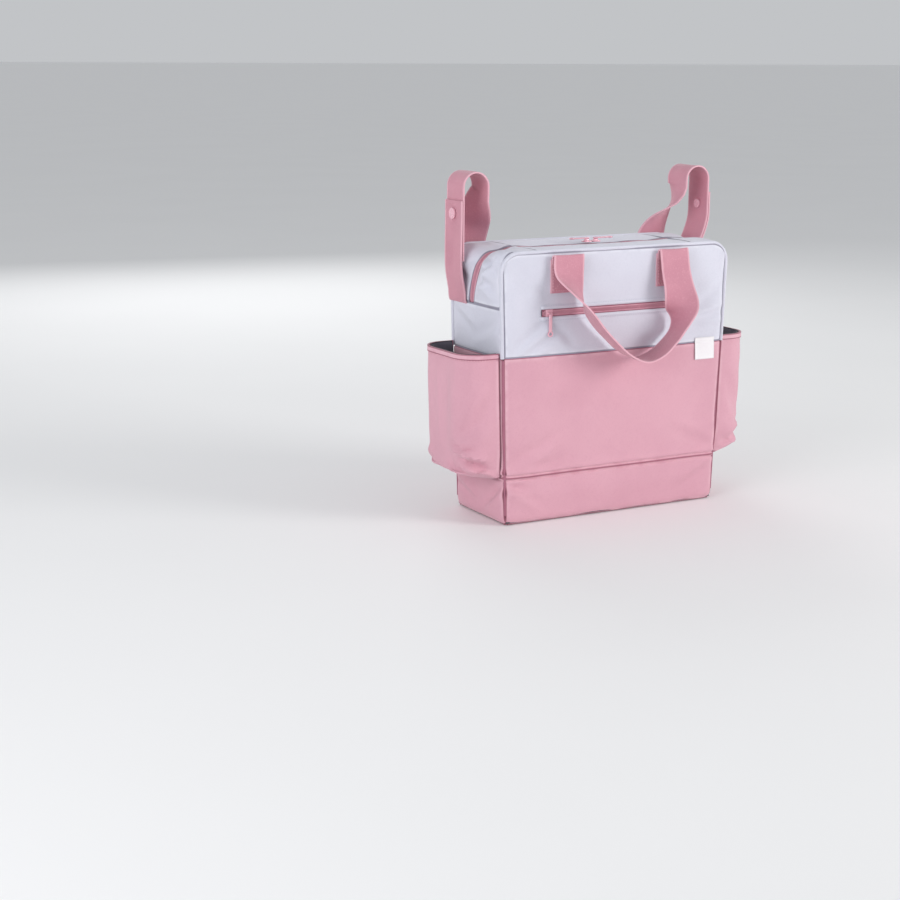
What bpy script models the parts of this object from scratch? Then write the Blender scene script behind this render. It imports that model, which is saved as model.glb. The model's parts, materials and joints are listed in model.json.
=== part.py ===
"""Changing bag for a pushchair: a box-shaped fabric bag with carrying handles and snapped bar straps.

The bag stands on its base with +Z up and its front towards -Y. The origin is the middle of the underside.
All lengths are in metres. Every sewn panel, pocket, zip part and webbing run is an object of its own.
"""

import math

import bmesh
import bpy
from mathutils import Vector

# Overall size
HEIGHT = 0.360
DEPTH = 0.135
TOP_WIDTH = 0.360
BASE_WIDTH = 0.338

# Fabric and gaps
WALL = 0.0025
GAP = 0.0003
CORNER_RADIUS = 0.028
PIPING_RADIUS = 0.0020
EDGE_MARGIN = 0.0045
LINING_WALL = 0.0012
LINING_TOP = 0.330
FOAM_TOP = 0.350
FOAM_WALL = 0.0040
BOARD_WALL = 0.0020
BASE_ROUNDING = 0.0008

# Heights of the seams
BASE_SEAM = 0.064
COLOUR_SEAM = 0.223
GUSSET_SEAM = 0.287

# Top opening
FLAP_HALF_LENGTH = 0.1212
FLAP_HINGE_INSET = 0.0060
ZIP_HALF_WIDTH = 0.0052
ZIP_WALL = 0.0015
ZIP_SINK = 0.0007
CORNER_PIECE_END = 0.1216

# Zip sliders and pulls
SLIDER_LENGTH = 0.011
SLIDER_WIDTH = 0.0096
SLIDER_HEIGHT = 0.0044
PULL_LENGTH = 0.030
PULL_WIDTH = 0.006
PULL_WALL = 0.0016
SLIDER_START = 0.0015
SLIDER_MIDDLE = 0.007
SLIDER_ROUNDING = 0.0012
PULL_START = 0.004
PULL_ROUNDING = 0.0005

# Front pocket
FRONT_ZIP_HEIGHT = 0.279
FRONT_ZIP_HALF_LENGTH = 0.1165
FRONT_ZIP_BAND = 0.009
FRONT_ZIP_WALL = 0.0010
FRONT_ZIP_SLIT = 0.005
FRONT_SLIDER_HEIGHT = 0.0030
FRONT_SLIDER_ROUNDING = 0.0010
FRONT_PULL_DROP = 0.001
FRONT_ZIP_END = 0.004
FRONT_POCKET_BOTTOM = 0.120
FRONT_POCKET_TOP = 0.270
FRONT_POCKET_HALF_WIDTH = 0.118
FRONT_POCKET_DEPTH = 0.0074

# Side pockets
SIDE_POCKET_WALL = 0.0022
SIDE_POCKET_REACH = 0.042
SIDE_POCKET_HALF_DEPTH = 0.0615
SIDE_POCKET_CORNER = 0.024
HEM_HEIGHT = 0.007

# Webbing
WEBBING_WIDTH = 0.045
WEBBING_WALL = 0.0020
HANDLE_SPACING = 0.165
HANDLE_PIVOT_OUT = 0.0050
HANDLE_OUT = 0.0322
PATCH_TOP = 0.3486
PATCH_BOTTOM = 0.304
PATCH_MARGIN = 0.001
WEBBING_ROUNDING = 0.0004

# Straps for the pushchair's bar
STRAP_Y = 0.045
TAB_TOP = 0.418
TAIL_BOTTOM = 0.340
TAIL_X = 0.183
TAB_X = 0.1857
BAR_HEIGHT = 0.436
BAR_LOOP_RADIUS = 0.0185
ANCHOR_X = 0.146
ANCHOR_TOP = 0.335
ANCHOR_BOTTOM = 0.300
ANCHOR_SLACK = 0.0027
RIGHT_LEAN = 0.026
TAB_LEAN_SPAN = (0.306, 0.390)
RISE_LEAN_SPAN = (0.345, 0.412)
SNAP_HEIGHT = 0.401
SNAP_RADIUS = 0.0075
SNAP_SOCKET_RADIUS = 0.0062
SNAP_WALL = 0.0024
SNAP_ROUNDING = 0.0006

# Label
LABEL_X = (0.127, 0.159)
LABEL_Z = (0.200, 0.230)
LABEL_WALL = 0.0008

FRONT = -DEPTH / 2
BACK = DEPTH / 2
X_AXIS = Vector((1, 0, 0))
Y_AXIS = Vector((0, 1, 0))
Z_AXIS = Vector((0, 0, 1))


# ---------------------------------------------------------------------------------------------------------
# Helpers


def clear_scene():
    """Remove every object that the file was opened with."""
    for old in list(bpy.data.objects):
        bpy.data.objects.remove(old, do_unlink=True)


def finish(name, colour, roughness=0.85, metallic=0.0):
    """Make a plain Principled material."""
    material = bpy.data.materials.new(name)
    material.use_nodes = True
    shader = material.node_tree.nodes["Principled BSDF"]
    shader.inputs["Base Color"].default_value = (*colour, 1.0)
    shader.inputs["Roughness"].default_value = roughness
    shader.inputs["Metallic"].default_value = metallic
    return material


def half_width(z):
    """Half of the bag's width at height z: it narrows a little towards its base."""
    return (BASE_WIDTH + (TOP_WIDTH - BASE_WIDTH) * z / HEIGHT) / 2


def add_object(name, mesh_data, material, pivot=(0.0, 0.0, 0.0), smooth=False):
    """Turn a bmesh in world coordinates into a named object whose origin is at the pivot."""
    bmesh.ops.recalc_face_normals(mesh_data, faces=mesh_data.faces)
    bmesh.ops.translate(mesh_data, verts=mesh_data.verts, vec=-Vector(pivot))
    mesh = bpy.data.meshes.new(name)
    mesh_data.to_mesh(mesh)
    mesh_data.free()
    mesh.materials.append(material)
    if smooth:
        mesh.shade_smooth()
        mesh.set_sharp_from_angle(angle=math.radians(40))
    made = bpy.data.objects.new(name, mesh)
    made.location = pivot
    bpy.context.scene.collection.objects.link(made)
    return made


def add_prism(name, outline, rise, material, pivot=(0.0, 0.0, 0.0), smooth=False):
    """Extrude a flat outline of 3-D points by the vector rise."""
    shape = bmesh.new()
    face = shape.faces.new([shape.verts.new(point) for point in outline])
    moved = bmesh.ops.extrude_face_region(shape, geom=[face])["geom"]
    bmesh.ops.translate(shape, verts=[v for v in moved if isinstance(v, bmesh.types.BMVert)], vec=Vector(rise))
    return add_object(name, shape, material, pivot, smooth)


def add_box(name, low, high, material, pivot=(0.0, 0.0, 0.0), bevel=0.0):
    """Add a box between two corners, with its edges rounded by bevel."""
    x0, y0, z0 = low
    x1, y1, z1 = high
    outline = [(x0, y0, z0), (x1, y0, z0), (x1, y1, z0), (x0, y1, z0)]
    made = add_prism(name, outline, (0, 0, z1 - z0), material, pivot)
    if bevel:
        rounding = made.modifiers.new("edge rounding", "BEVEL")
        rounding.width = bevel
        rounding.segments = 2
    return made


def add_sweep(name, stations, section, material, pivot=(0.0, 0.0, 0.0), smooth=True):
    """Sweep a closed 2-D section along stations, each a (centre, section x direction, section y direction)."""
    shape = bmesh.new()
    rings = []
    for centre, across, through in stations:
        rings.append([shape.verts.new(centre + across * a + through * b) for a, b in section])
    count = len(section)
    for first, second in zip(rings, rings[1:]):
        for i in range(count):
            j = (i + 1) % count
            shape.faces.new((first[i], first[j], second[j], second[i]))
    shape.faces.new(rings[0][::-1])
    shape.faces.new(rings[-1])
    bmesh.ops.triangulate(shape, faces=shape.faces[:])
    return add_object(name, shape, material, pivot, smooth)


def smooth_path(points, steps):
    """Return a smooth curve through points of any dimension, with the given number of steps between two."""
    knots = [Vector(p) for p in points]
    knots = [knots[0] * 2 - knots[1]] + knots + [knots[-1] * 2 - knots[-2]]
    path = []
    for a, b, c, d in zip(knots, knots[1:], knots[2:], knots[3:]):
        for i in range(steps):
            t = i / steps
            path.append((b * 2 + (c - a) * t + (a * 2 - b * 5 + c * 4 - d) * t ** 2
                         + (b * 3 - a - c * 3 + d) * t ** 3) / 2)
    path.append(knots[-2])
    return path


def tangents(path):
    """Return the unit direction of travel at each point of a path."""
    ends = [path[0]] + path + [path[-1]]
    return [(after - before).normalized() for before, after in zip(ends, ends[2:])]


def ribbon_stations(path, across):
    """Stations for a flat ribbon: across is the direction of its width at each point."""
    stations = []
    for centre, along, width in zip(path, tangents(path), across):
        through = along.cross(width).normalized()
        stations.append((centre, through.cross(along).normalized(), through))
    return stations


def rectangle(width, thickness):
    """A rectangular section centred on the path."""
    w = width / 2
    t = thickness / 2
    return [(-w, -t), (w, -t), (w, t), (-w, t)]


def circle(radius, sides):
    """A round section centred on the path."""
    turns = [2 * math.pi * i / sides for i in range(sides)]
    return [(radius * math.cos(a), radius * math.sin(a)) for a in turns]


def arc(centre, radius, start, end, steps):
    """Points of an arc in the XZ plane as (x, z), from start to end in degrees."""
    angles = [math.radians(start + (end - start) * i / steps) for i in range(steps + 1)]
    return [(centre[0] + radius * math.cos(a), centre[1] + radius * math.sin(a)) for a in angles]


def shell_outline(inset, bottom, top, radius):
    """Outline in XZ of a front or back panel with round top corners, as (x, z), from bottom left."""
    low = half_width(bottom) - inset
    high = half_width(top - radius) - inset
    outline = [(-low, bottom), (low, bottom)]
    if radius <= 0:
        return outline + [(high, top), (-high, top)]
    outline += arc((high - radius, top - radius), radius, 0, 90, 6)
    outline += arc((-high + radius, top - radius), radius, 90, 180, 6)
    return outline


# ---------------------------------------------------------------------------------------------------------
# Outer shell


def add_face_panel(name, y, direction, bottom, top, radius, material):
    """A panel of the front or back: its outer face is at y and its thickness goes along direction."""
    outline = [(x, y, z) for x, z in shell_outline(EDGE_MARGIN, bottom, top, radius)]
    return add_prism(name, outline, (0, direction * WALL, 0), material)


def cut_front_slit(panel, material):
    """Cut the pocket's mouth, which the front zip closes, through the upper front panel."""
    half = FRONT_ZIP_HALF_LENGTH - FRONT_ZIP_END
    slit = FRONT_ZIP_SLIT / 2
    cutter = add_box("front_slit_cutter", (-half, FRONT - WALL, FRONT_ZIP_HEIGHT - slit),
                     (half, FRONT + 2 * WALL, FRONT_ZIP_HEIGHT + slit), material)
    cutter.hide_render = True
    cutter.display_type = "WIRE"
    cut = panel.modifiers.new("pocket mouth", "BOOLEAN")
    cut.operation = "DIFFERENCE"
    cut.object = cutter


def add_side_wall(name, side, bottom, top, material):
    """A wall of the left (-1) or right (+1) gusset, leaning with the bag's taper."""
    reach = DEPTH / 2 - EDGE_MARGIN
    low = side * half_width(bottom)
    high = side * half_width(top)
    outline = [(low, -reach, bottom), (low, reach, bottom), (high, reach, top), (high, -reach, top)]
    return add_prism(name, outline, (-side * WALL, 0, 0), material)


def arch_path(side, depth_in, y, end):
    """Path of the strip that runs up a gusset's top and round the corner, depth_in below the outer face."""
    outer = half_width(HEIGHT - CORNER_RADIUS) - depth_in
    top = HEIGHT - depth_in
    radius = CORNER_RADIUS - depth_in
    profile = [(half_width(GUSSET_SEAM) - depth_in, GUSSET_SEAM + GAP)]
    profile += arc((outer - radius, top - radius), radius, 0, 90, 8)
    profile.append((end, top))
    return [Vector((side * x, y, z)) for x, z in profile]


def add_arch_piece(name, side, y_low, y_high, thickness, depth_in, material):
    """A strip over one top corner, between two depths of the bag."""
    path = arch_path(side, depth_in + thickness / 2, (y_low + y_high) / 2, CORNER_PIECE_END)
    stations = ribbon_stations(path, [Y_AXIS] * len(path))
    return add_sweep(name, stations, rectangle(y_high - y_low, thickness), material)


def piping_path(y):
    """Path of a piping cord up one side, over the top and down the other side of a panel."""
    inset = PIPING_RADIUS + GAP / 2
    start = BASE_SEAM + GAP
    outline = shell_outline(inset, start, HEIGHT - inset, CORNER_RADIUS - inset)
    corners = outline[1:] + outline[:1]
    return [Vector((x, y, z)) for x, z in corners]


def add_piping(name, y, material):
    """A piping cord round the edge of the front or back."""
    path = piping_path(y)
    stations = ribbon_stations(path, [Y_AXIS] * len(path))
    return add_sweep(name, stations, circle(PIPING_RADIUS, 8), material)


def add_shell(looks):
    """Base, front, back, gussets and the strips round the top corners."""
    base_reach = DEPTH / 2
    base_half = BASE_WIDTH / 2
    add_box("base_panel", (-base_half, -base_reach, 0), (base_half, base_reach, WALL), looks["pink"], bevel=BASE_ROUNDING)
    wall_foot = WALL + GAP
    wall_top = BASE_SEAM - GAP
    add_face_panel("front_base_band", FRONT, 1, wall_foot, wall_top, 0, looks["pink"])
    add_face_panel("back_base_band", BACK, -1, wall_foot, wall_top, 0, looks["pink"])
    for side, label in ((-1, "left"), (1, "right")):
        add_side_wall(f"{label}_base_band", side, wall_foot, wall_top, looks["pink"])
        add_side_wall(f"{label}_gusset_lower", side, BASE_SEAM, COLOUR_SEAM - GAP, looks["pink"])
        add_side_wall(f"{label}_gusset_upper", side, COLOUR_SEAM, GUSSET_SEAM, looks["grey"])
        near = ZIP_HALF_WIDTH + GAP
        far = DEPTH / 2 - EDGE_MARGIN
        add_arch_piece(f"{label}_arch_front", side, -far, -near, WALL, 0, looks["grey"])
        add_arch_piece(f"{label}_arch_back", side, near, far, WALL, 0, looks["grey"])
        add_arch_piece(f"{label}_side_zip", side, -ZIP_HALF_WIDTH, ZIP_HALF_WIDTH, ZIP_WALL, ZIP_SINK, looks["zip"])
    add_face_panel("front_panel_lower", FRONT, 1, BASE_SEAM, COLOUR_SEAM - GAP, 0, looks["pink"])
    upper = add_face_panel("front_panel_upper", FRONT, 1, COLOUR_SEAM, HEIGHT - EDGE_MARGIN,
                           CORNER_RADIUS - EDGE_MARGIN, looks["grey"])
    cut_front_slit(upper, looks["grey"])
    add_face_panel("back_panel", BACK, -1, BASE_SEAM, HEIGHT - EDGE_MARGIN,
                   CORNER_RADIUS - EDGE_MARGIN, looks["pink"])
    piping_y = DEPTH / 2 - PIPING_RADIUS - GAP / 2
    add_piping("front_piping", -piping_y, looks["grey"])
    add_piping("back_piping", piping_y, looks["grey"])


# ---------------------------------------------------------------------------------------------------------
# Inside


def lining_corners(inset, z):
    """The four plan corners of the lining at height z, inset from its outer face."""
    x = half_width(z) - WALL - GAP - inset
    front = FRONT + WALL + GAP + FRONT_POCKET_DEPTH + GAP + inset
    back = BACK - WALL - GAP - FOAM_WALL - GAP - inset
    return [Vector((-x, front, z)), Vector((x, front, z)), Vector((x, back, z)), Vector((-x, back, z))]


def add_open_box(name, outer_levels, inner_levels, material):
    """An open box from its outer and inner corner rings, each at the bottom and at the top."""
    shape = bmesh.new()
    outer = [[shape.verts.new(p) for p in ring] for ring in outer_levels]
    inner = [[shape.verts.new(p) for p in ring] for ring in inner_levels]
    for i in range(4):
        j = (i + 1) % 4
        shape.faces.new((outer[0][i], outer[0][j], outer[1][j], outer[1][i]))
        shape.faces.new((inner[0][j], inner[0][i], inner[1][i], inner[1][j]))
        shape.faces.new((outer[1][i], outer[1][j], inner[1][j], inner[1][i]))
    shape.faces.new(outer[0][::-1])
    shape.faces.new(inner[0])
    return add_object(name, shape, material)


def add_inside(looks):
    """Base board, back foam, lining and the bag of the front pocket."""
    board_floor = WALL + GAP
    board_top = board_floor + BOARD_WALL
    board_half = BASE_WIDTH / 2 - EDGE_MARGIN
    board_reach = DEPTH / 2 - WALL - 2 * GAP
    add_box("base_board", (-board_half, -board_reach, board_floor), (board_half, board_reach, board_top),
            looks["board"])
    foam_outline = shell_outline(EDGE_MARGIN + WALL, BASE_SEAM, FOAM_TOP, CORNER_RADIUS)
    foam_y = BACK - WALL - GAP
    add_prism("back_foam", [(x, foam_y, z) for x, z in foam_outline], (0, -FOAM_WALL, 0), looks["foam"])
    floor = board_top + GAP
    add_open_box("main_lining",
                 (lining_corners(0, floor), lining_corners(0, LINING_TOP)),
                 (lining_corners(LINING_WALL, floor + LINING_WALL), lining_corners(LINING_WALL, LINING_TOP)),
                 looks["lining"])
    add_front_pocket_bag(looks["lining"])


def add_front_pocket_bag(material):
    """The flat bag behind the front zip: a back sheet with a rim at its sides and foot, open at the top."""
    front = FRONT + WALL + GAP
    back = front + FRONT_POCKET_DEPTH
    half = FRONT_POCKET_HALF_WIDTH
    low = FRONT_POCKET_BOTTOM
    top = FRONT_POCKET_TOP
    rim = LINING_WALL
    outline = [(-half, low), (half, low), (half, top), (half - rim, top), (half - rim, low + rim),
               (-half + rim, low + rim), (-half + rim, top), (-half, top)]
    shape = bmesh.new()
    sheet_front = back - rim
    ring_front = [shape.verts.new((x, front, z)) for x, z in outline]
    ring_middle = [shape.verts.new((x, sheet_front, z)) for x, z in outline]
    corners = [0, 1, 2, 7]
    ring_back = {i: shape.verts.new((outline[i][0], back, outline[i][1])) for i in corners}
    shape.faces.new(ring_front)
    for i, j in zip(range(8), [1, 2, 3, 4, 5, 6, 7, 0]):
        shape.faces.new((ring_front[i], ring_front[j], ring_middle[j], ring_middle[i]))
    shape.faces.new([ring_middle[i] for i in (3, 4, 5, 6)])
    for i, j in ((0, 1), (1, 2), (7, 0)):
        shape.faces.new((ring_middle[i], ring_middle[j], ring_back[j], ring_back[i]))
    shape.faces.new([ring_middle[i] for i in (2, 3, 6, 7)] + [ring_back[7], ring_back[2]])
    shape.faces.new([ring_back[i] for i in (0, 1, 2, 7)])
    return add_object("front_pocket_bag", shape, material)


# ---------------------------------------------------------------------------------------------------------
# Top opening and zips


def add_flaps(looks):
    """The two halves of the top, each with its half of the main zip and hinged at its outer edge."""
    hinge_z = HEIGHT - WALL / 2
    for side, label in ((-1, "front"), (1, "back")):
        hinge_y = side * (DEPTH / 2 - FLAP_HINGE_INSET)
        pivot = (0, hinge_y, hinge_z)
        edge = side * (ZIP_HALF_WIDTH + GAP)
        ys = sorted((hinge_y, edge))
        add_box(f"top_{label}_flap", (-FLAP_HALF_LENGTH, ys[0], HEIGHT - WALL), (FLAP_HALF_LENGTH, ys[1], HEIGHT),
                looks["grey"], pivot)
        ys = sorted((side * GAP, side * ZIP_HALF_WIDTH))
        zip_top = HEIGHT - ZIP_SINK
        add_box(f"top_{label}_zip", (-FLAP_HALF_LENGTH, ys[0], zip_top - ZIP_WALL),
                (FLAP_HALF_LENGTH, ys[1], zip_top), looks["zip"], pivot)


def add_main_sliders(looks):
    """Two sliders that meet head to head on the main zip, each with a flat pull lying outwards."""
    floor = HEIGHT - ZIP_SINK + GAP
    top = floor + SLIDER_HEIGHT
    for side, label in ((-1, "left"), (1, "right")):
        near = side * SLIDER_START
        far = side * (0.0015 + SLIDER_LENGTH)
        xs = sorted((near, far))
        add_box(f"main_slider_{label}", (xs[0], -SLIDER_WIDTH / 2, floor), (xs[1], SLIDER_WIDTH / 2, top),
                looks["zip"], (side * SLIDER_MIDDLE, 0, floor), bevel=SLIDER_ROUNDING)
        pull_floor = top + GAP
        start = side * PULL_START
        xs = sorted((start, start + side * PULL_LENGTH))
        pivot = (start + side * PULL_WALL / 2, 0, pull_floor + PULL_WALL / 2)
        add_box(f"main_pull_{label}", (xs[0], -PULL_WIDTH / 2, pull_floor),
                (xs[1], PULL_WIDTH / 2, pull_floor + PULL_WALL), looks["zip"], pivot, bevel=PULL_ROUNDING)


def add_front_zip(looks):
    """The front pocket's zip with its slider at the left end and the pull hanging."""
    tape_back = FRONT - GAP
    tape_front = tape_back - FRONT_ZIP_WALL
    half_band = FRONT_ZIP_BAND / 2
    add_box("front_zip_tape", (-FRONT_ZIP_HALF_LENGTH, tape_front, FRONT_ZIP_HEIGHT - half_band),
            (FRONT_ZIP_HALF_LENGTH, tape_back, FRONT_ZIP_HEIGHT + half_band), looks["zip"])
    slider_x = -FRONT_ZIP_HALF_LENGTH + FRONT_ZIP_END
    slider_back = tape_front - GAP
    slider_front = slider_back - FRONT_SLIDER_HEIGHT
    half_slider = SLIDER_WIDTH / 2
    add_box("front_slider", (slider_x, slider_front, FRONT_ZIP_HEIGHT - half_slider),
            (slider_x + SLIDER_LENGTH, slider_back, FRONT_ZIP_HEIGHT + half_slider), looks["zip"], bevel=FRONT_SLIDER_ROUNDING)
    pull_x = slider_x + SLIDER_LENGTH / 2
    pull_back = slider_front - GAP
    pull_front = pull_back - PULL_WALL
    pull_top = FRONT_ZIP_HEIGHT - FRONT_PULL_DROP
    pivot = (pull_x, pull_back, pull_top - PULL_WIDTH / 2)
    add_box("front_pull", (pull_x - PULL_WIDTH / 2, pull_front, pull_top - PULL_LENGTH),
            (pull_x + PULL_WIDTH / 2, pull_back, pull_top), looks["zip"], pivot, bevel=PULL_ROUNDING)


# ---------------------------------------------------------------------------------------------------------
# Side pockets


def pocket_profile(inset):
    """Half-round plan of a side pocket as (reach from the gusset, y), from front to back."""
    reach = SIDE_POCKET_REACH - inset
    half = SIDE_POCKET_HALF_DEPTH - inset
    radius = SIDE_POCKET_CORNER - inset
    profile = [(0.0, -half)]
    profile += arc((reach - radius, -half + radius), radius, -90, 0, 5)
    profile += arc((reach - radius, half - radius), radius, 0, 90, 5)
    profile.append((0.0, half))
    return profile


def add_side_pocket(name, side, material):
    """An open-topped pocket whose wall and floor are sewn to the gusset."""
    floor = BASE_SEAM + SIDE_POCKET_WALL
    outer_plan = pocket_profile(0)
    inner_plan = pocket_profile(SIDE_POCKET_WALL)

    def ring(shape, plan, z):
        foot = half_width(z) + GAP
        return [shape.verts.new((side * (foot + reach), y, z)) for reach, y in plan]

    shape = bmesh.new()
    outer_low = ring(shape, outer_plan, BASE_SEAM)
    outer_high = ring(shape, outer_plan, COLOUR_SEAM)
    inner_low = ring(shape, inner_plan, floor)
    inner_high = ring(shape, inner_plan, COLOUR_SEAM)
    last = len(outer_plan) - 1
    for i in range(last):
        j = i + 1
        shape.faces.new((outer_low[i], outer_low[j], outer_high[j], outer_high[i]))
        shape.faces.new((inner_low[j], inner_low[i], inner_high[i], inner_high[j]))
        shape.faces.new((outer_high[i], outer_high[j], inner_high[j], inner_high[i]))
    shape.faces.new(outer_low[::-1])
    shape.faces.new(inner_low)
    shape.faces.new((outer_low[0], outer_high[0], inner_high[0], inner_low[0],
                     inner_low[last], inner_high[last], outer_high[last], outer_low[last]))
    return add_object(name, shape, material, smooth=True)


def add_pocket_hem(name, side, material):
    """The elastic hem round a side pocket's mouth."""
    z = COLOUR_SEAM + GAP + HEM_HEIGHT / 2
    foot = half_width(z + HEM_HEIGHT / 2) + GAP
    plan = pocket_profile(SIDE_POCKET_WALL / 2)
    path = [Vector((side * (foot + reach), y, z)) for reach, y in plan]
    stations = ribbon_stations(path, [Z_AXIS] * len(path))
    return add_sweep(name, stations, rectangle(HEM_HEIGHT, SIDE_POCKET_WALL), material)


# ---------------------------------------------------------------------------------------------------------
# Webbing


def handle_route():
    """Points of a hanging handle: x, distance out from the panel, z, and the webbing's turn in degrees."""
    half = HANDLE_SPACING / 2
    top = PATCH_TOP + 0.0004
    return [
        (-half, HANDLE_PIVOT_OUT, top, 0),
        (-half, 0.0100, top - 0.019, 3),
        (-half + 0.005, 0.0225, top - 0.044, 45),
        (-half + 0.015, HANDLE_OUT, top - 0.069, 82),
        (-half + 0.029, HANDLE_OUT, top - 0.091, 90),
        (-half + 0.048, HANDLE_OUT, top - 0.110, 90),
        (-half + 0.072, HANDLE_OUT, top - 0.130, 90),
        (0.018, HANDLE_OUT, top - 0.1425, 90),
        (half - 0.042, HANDLE_OUT, top - 0.136, 90),
        (half - 0.021, HANDLE_OUT, top - 0.117, 92),
        (half - 0.004, HANDLE_OUT, top - 0.097, 104),
        (half + 0.004, HANDLE_OUT, top - 0.078, 140),
        (half + 0.004, 0.0290, top - 0.054, 168),
        (half + 0.002, 0.0170, top - 0.026, 178),
        (half, HANDLE_PIVOT_OUT, top, 180),
    ]


def add_handle(name, face_y, outwards, material):
    """A carrying handle hanging from its two patches, on the front (-1) or back (+1)."""
    path = []
    across = []
    for x, out, z, degrees in smooth_path(handle_route(), 3):
        turn = math.radians(degrees)
        path.append(Vector((x, face_y + outwards * out, z)))
        across.append(Vector((math.cos(turn), -outwards * math.sin(turn), 0)))
    pivot = (0, path[0].y, path[0].z)
    stations = ribbon_stations(path, across)
    return add_sweep(name, stations, rectangle(WEBBING_WIDTH, WEBBING_WALL), material, pivot)


def add_handles(looks):
    """Front and back handles with the four sewn patches that hold them."""
    half = HANDLE_SPACING / 2
    half_patch = WEBBING_WIDTH / 2 + PATCH_MARGIN
    for outwards, face_y, label in ((-1, FRONT, "front"), (1, BACK, "back")):
        add_handle(f"{label}_handle", face_y, outwards, looks["webbing"])
        inner = face_y + outwards * GAP
        outer = inner + outwards * WEBBING_WALL
        ys = sorted((inner, outer))
        for side, end in ((-1, "left"), (1, "right")):
            x = side * half
            add_box(f"{label}_handle_patch_{end}", (x - half_patch, ys[0], PATCH_BOTTOM),
                    (x + half_patch, ys[1], PATCH_TOP), looks["webbing"], bevel=WEBBING_ROUNDING)


def lean(side, z, span):
    """How far out a strap leans at height z: the right one follows the bar outwards, between two heights."""
    if side < 0:
        return 0.0
    share = min(1.0, max(0.0, (z - span[0]) / (span[1] - span[0])))
    return RIGHT_LEAN * share * share * (3 - 2 * share)


def add_bar_strap(side, label, looks):
    """A strap for the pushchair's bar: a tab from the gusset seam snaps on a loop from the back panel."""
    tab_foot = half_width(GUSSET_SEAM) + GAP + WEBBING_WALL / 2
    tab_points = [
        (tab_foot + 0.0002, GUSSET_SEAM + 0.0015),
        (tab_foot + 0.0010, GUSSET_SEAM + 0.013),
        (TAB_X - 0.0016, GUSSET_SEAM + 0.031),
        (TAB_X, GUSSET_SEAM + 0.046),
        (TAB_X, (GUSSET_SEAM + TAB_TOP) / 2),
        (TAB_X, TAB_TOP),
    ]
    path = [Vector((side * (x + lean(side, z, TAB_LEAN_SPAN)), STRAP_Y, z)) for x, z in smooth_path(tab_points, 4)]
    stations = ribbon_stations(path, [Y_AXIS] * len(path))
    add_sweep(f"{label}_bar_tab", stations, rectangle(WEBBING_WIDTH, WEBBING_WALL), looks["webbing"],
              tuple(path[0]))

    anchor_y = BACK + GAP + WEBBING_WALL / 2 + ANCHOR_SLACK
    loop_x = TAIL_X - 2 * BAR_LOOP_RADIUS
    rise = [
        (ANCHOR_X, anchor_y, ANCHOR_TOP, 0),
        (ANCHOR_X, anchor_y, HEIGHT - 0.004, 0),
        (ANCHOR_X, anchor_y - 0.005, HEIGHT + 0.021, 25),
        (ANCHOR_X, anchor_y - 0.016, HEIGHT + 0.045, 62),
        (loop_x, STRAP_Y, HEIGHT + 0.067, 90),
    ]
    bend = arc((loop_x + BAR_LOOP_RADIUS, BAR_HEIGHT), BAR_LOOP_RADIUS, 180, 0, 10)
    points = smooth_path(rise, 4)
    spans = [RISE_LEAN_SPAN] * len(points)
    points += [Vector((x, STRAP_Y, z, 90)) for x, z in bend]
    points += [Vector((TAIL_X, STRAP_Y, z, 90)) for z in (0.412, 0.396, 0.380, 0.366, 0.353, TAIL_BOTTOM)]
    spans += [TAB_LEAN_SPAN] * (len(points) - len(spans))
    path = [Vector((side * (p[0] + lean(side, p[2], span)), p[1], p[2])) for p, span in zip(points, spans)]
    across = [Vector((side * math.cos(math.radians(p[3])), math.sin(math.radians(p[3])), 0)) for p in points]
    stations = ribbon_stations(path, across)
    add_sweep(f"{label}_bar_loop", stations, rectangle(WEBBING_WIDTH, WEBBING_WALL), looks["webbing"],
              tuple(path[0]))

    half_patch = WEBBING_WIDTH / 2 + PATCH_MARGIN
    low = (side * ANCHOR_X - half_patch, BACK + GAP, ANCHOR_BOTTOM)
    high = (side * ANCHOR_X + half_patch, BACK + GAP + WEBBING_WALL, ANCHOR_TOP - GAP - PATCH_MARGIN)
    add_box(f"{label}_bar_anchor", low, high, looks["webbing"], bevel=WEBBING_ROUNDING)
    leaning = lean(side, SNAP_HEIGHT, TAB_LEAN_SPAN)
    add_snap(f"{label}_snap_cap", side * (TAB_X + leaning + WEBBING_WALL / 2 + GAP), side, SNAP_RADIUS,
             looks["snap"])
    add_snap(f"{label}_snap_socket", side * (TAIL_X + leaning - WEBBING_WALL / 2 - GAP), -side,
             SNAP_SOCKET_RADIUS, looks["snap"])


def add_snap(name, x, direction, radius, material):
    """Half of a snap fastener: a low round button standing on webbing at x."""
    outline = [(x, STRAP_Y + a, SNAP_HEIGHT + b) for a, b in circle(radius, 20)]
    made = add_prism(name, outline, (direction * SNAP_WALL, 0, 0), material, smooth=True)
    rounding = made.modifiers.new("rim rounding", "BEVEL")
    rounding.width = SNAP_ROUNDING
    rounding.segments = 2
    rounding.limit_method = "ANGLE"
    return made


def add_label(looks):
    """The small blank label sewn over the colour seam at the front's right edge."""
    back = FRONT - GAP
    add_box("label", (LABEL_X[0], back - LABEL_WALL, LABEL_Z[0]), (LABEL_X[1], back, LABEL_Z[1]), looks["label"])


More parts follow.
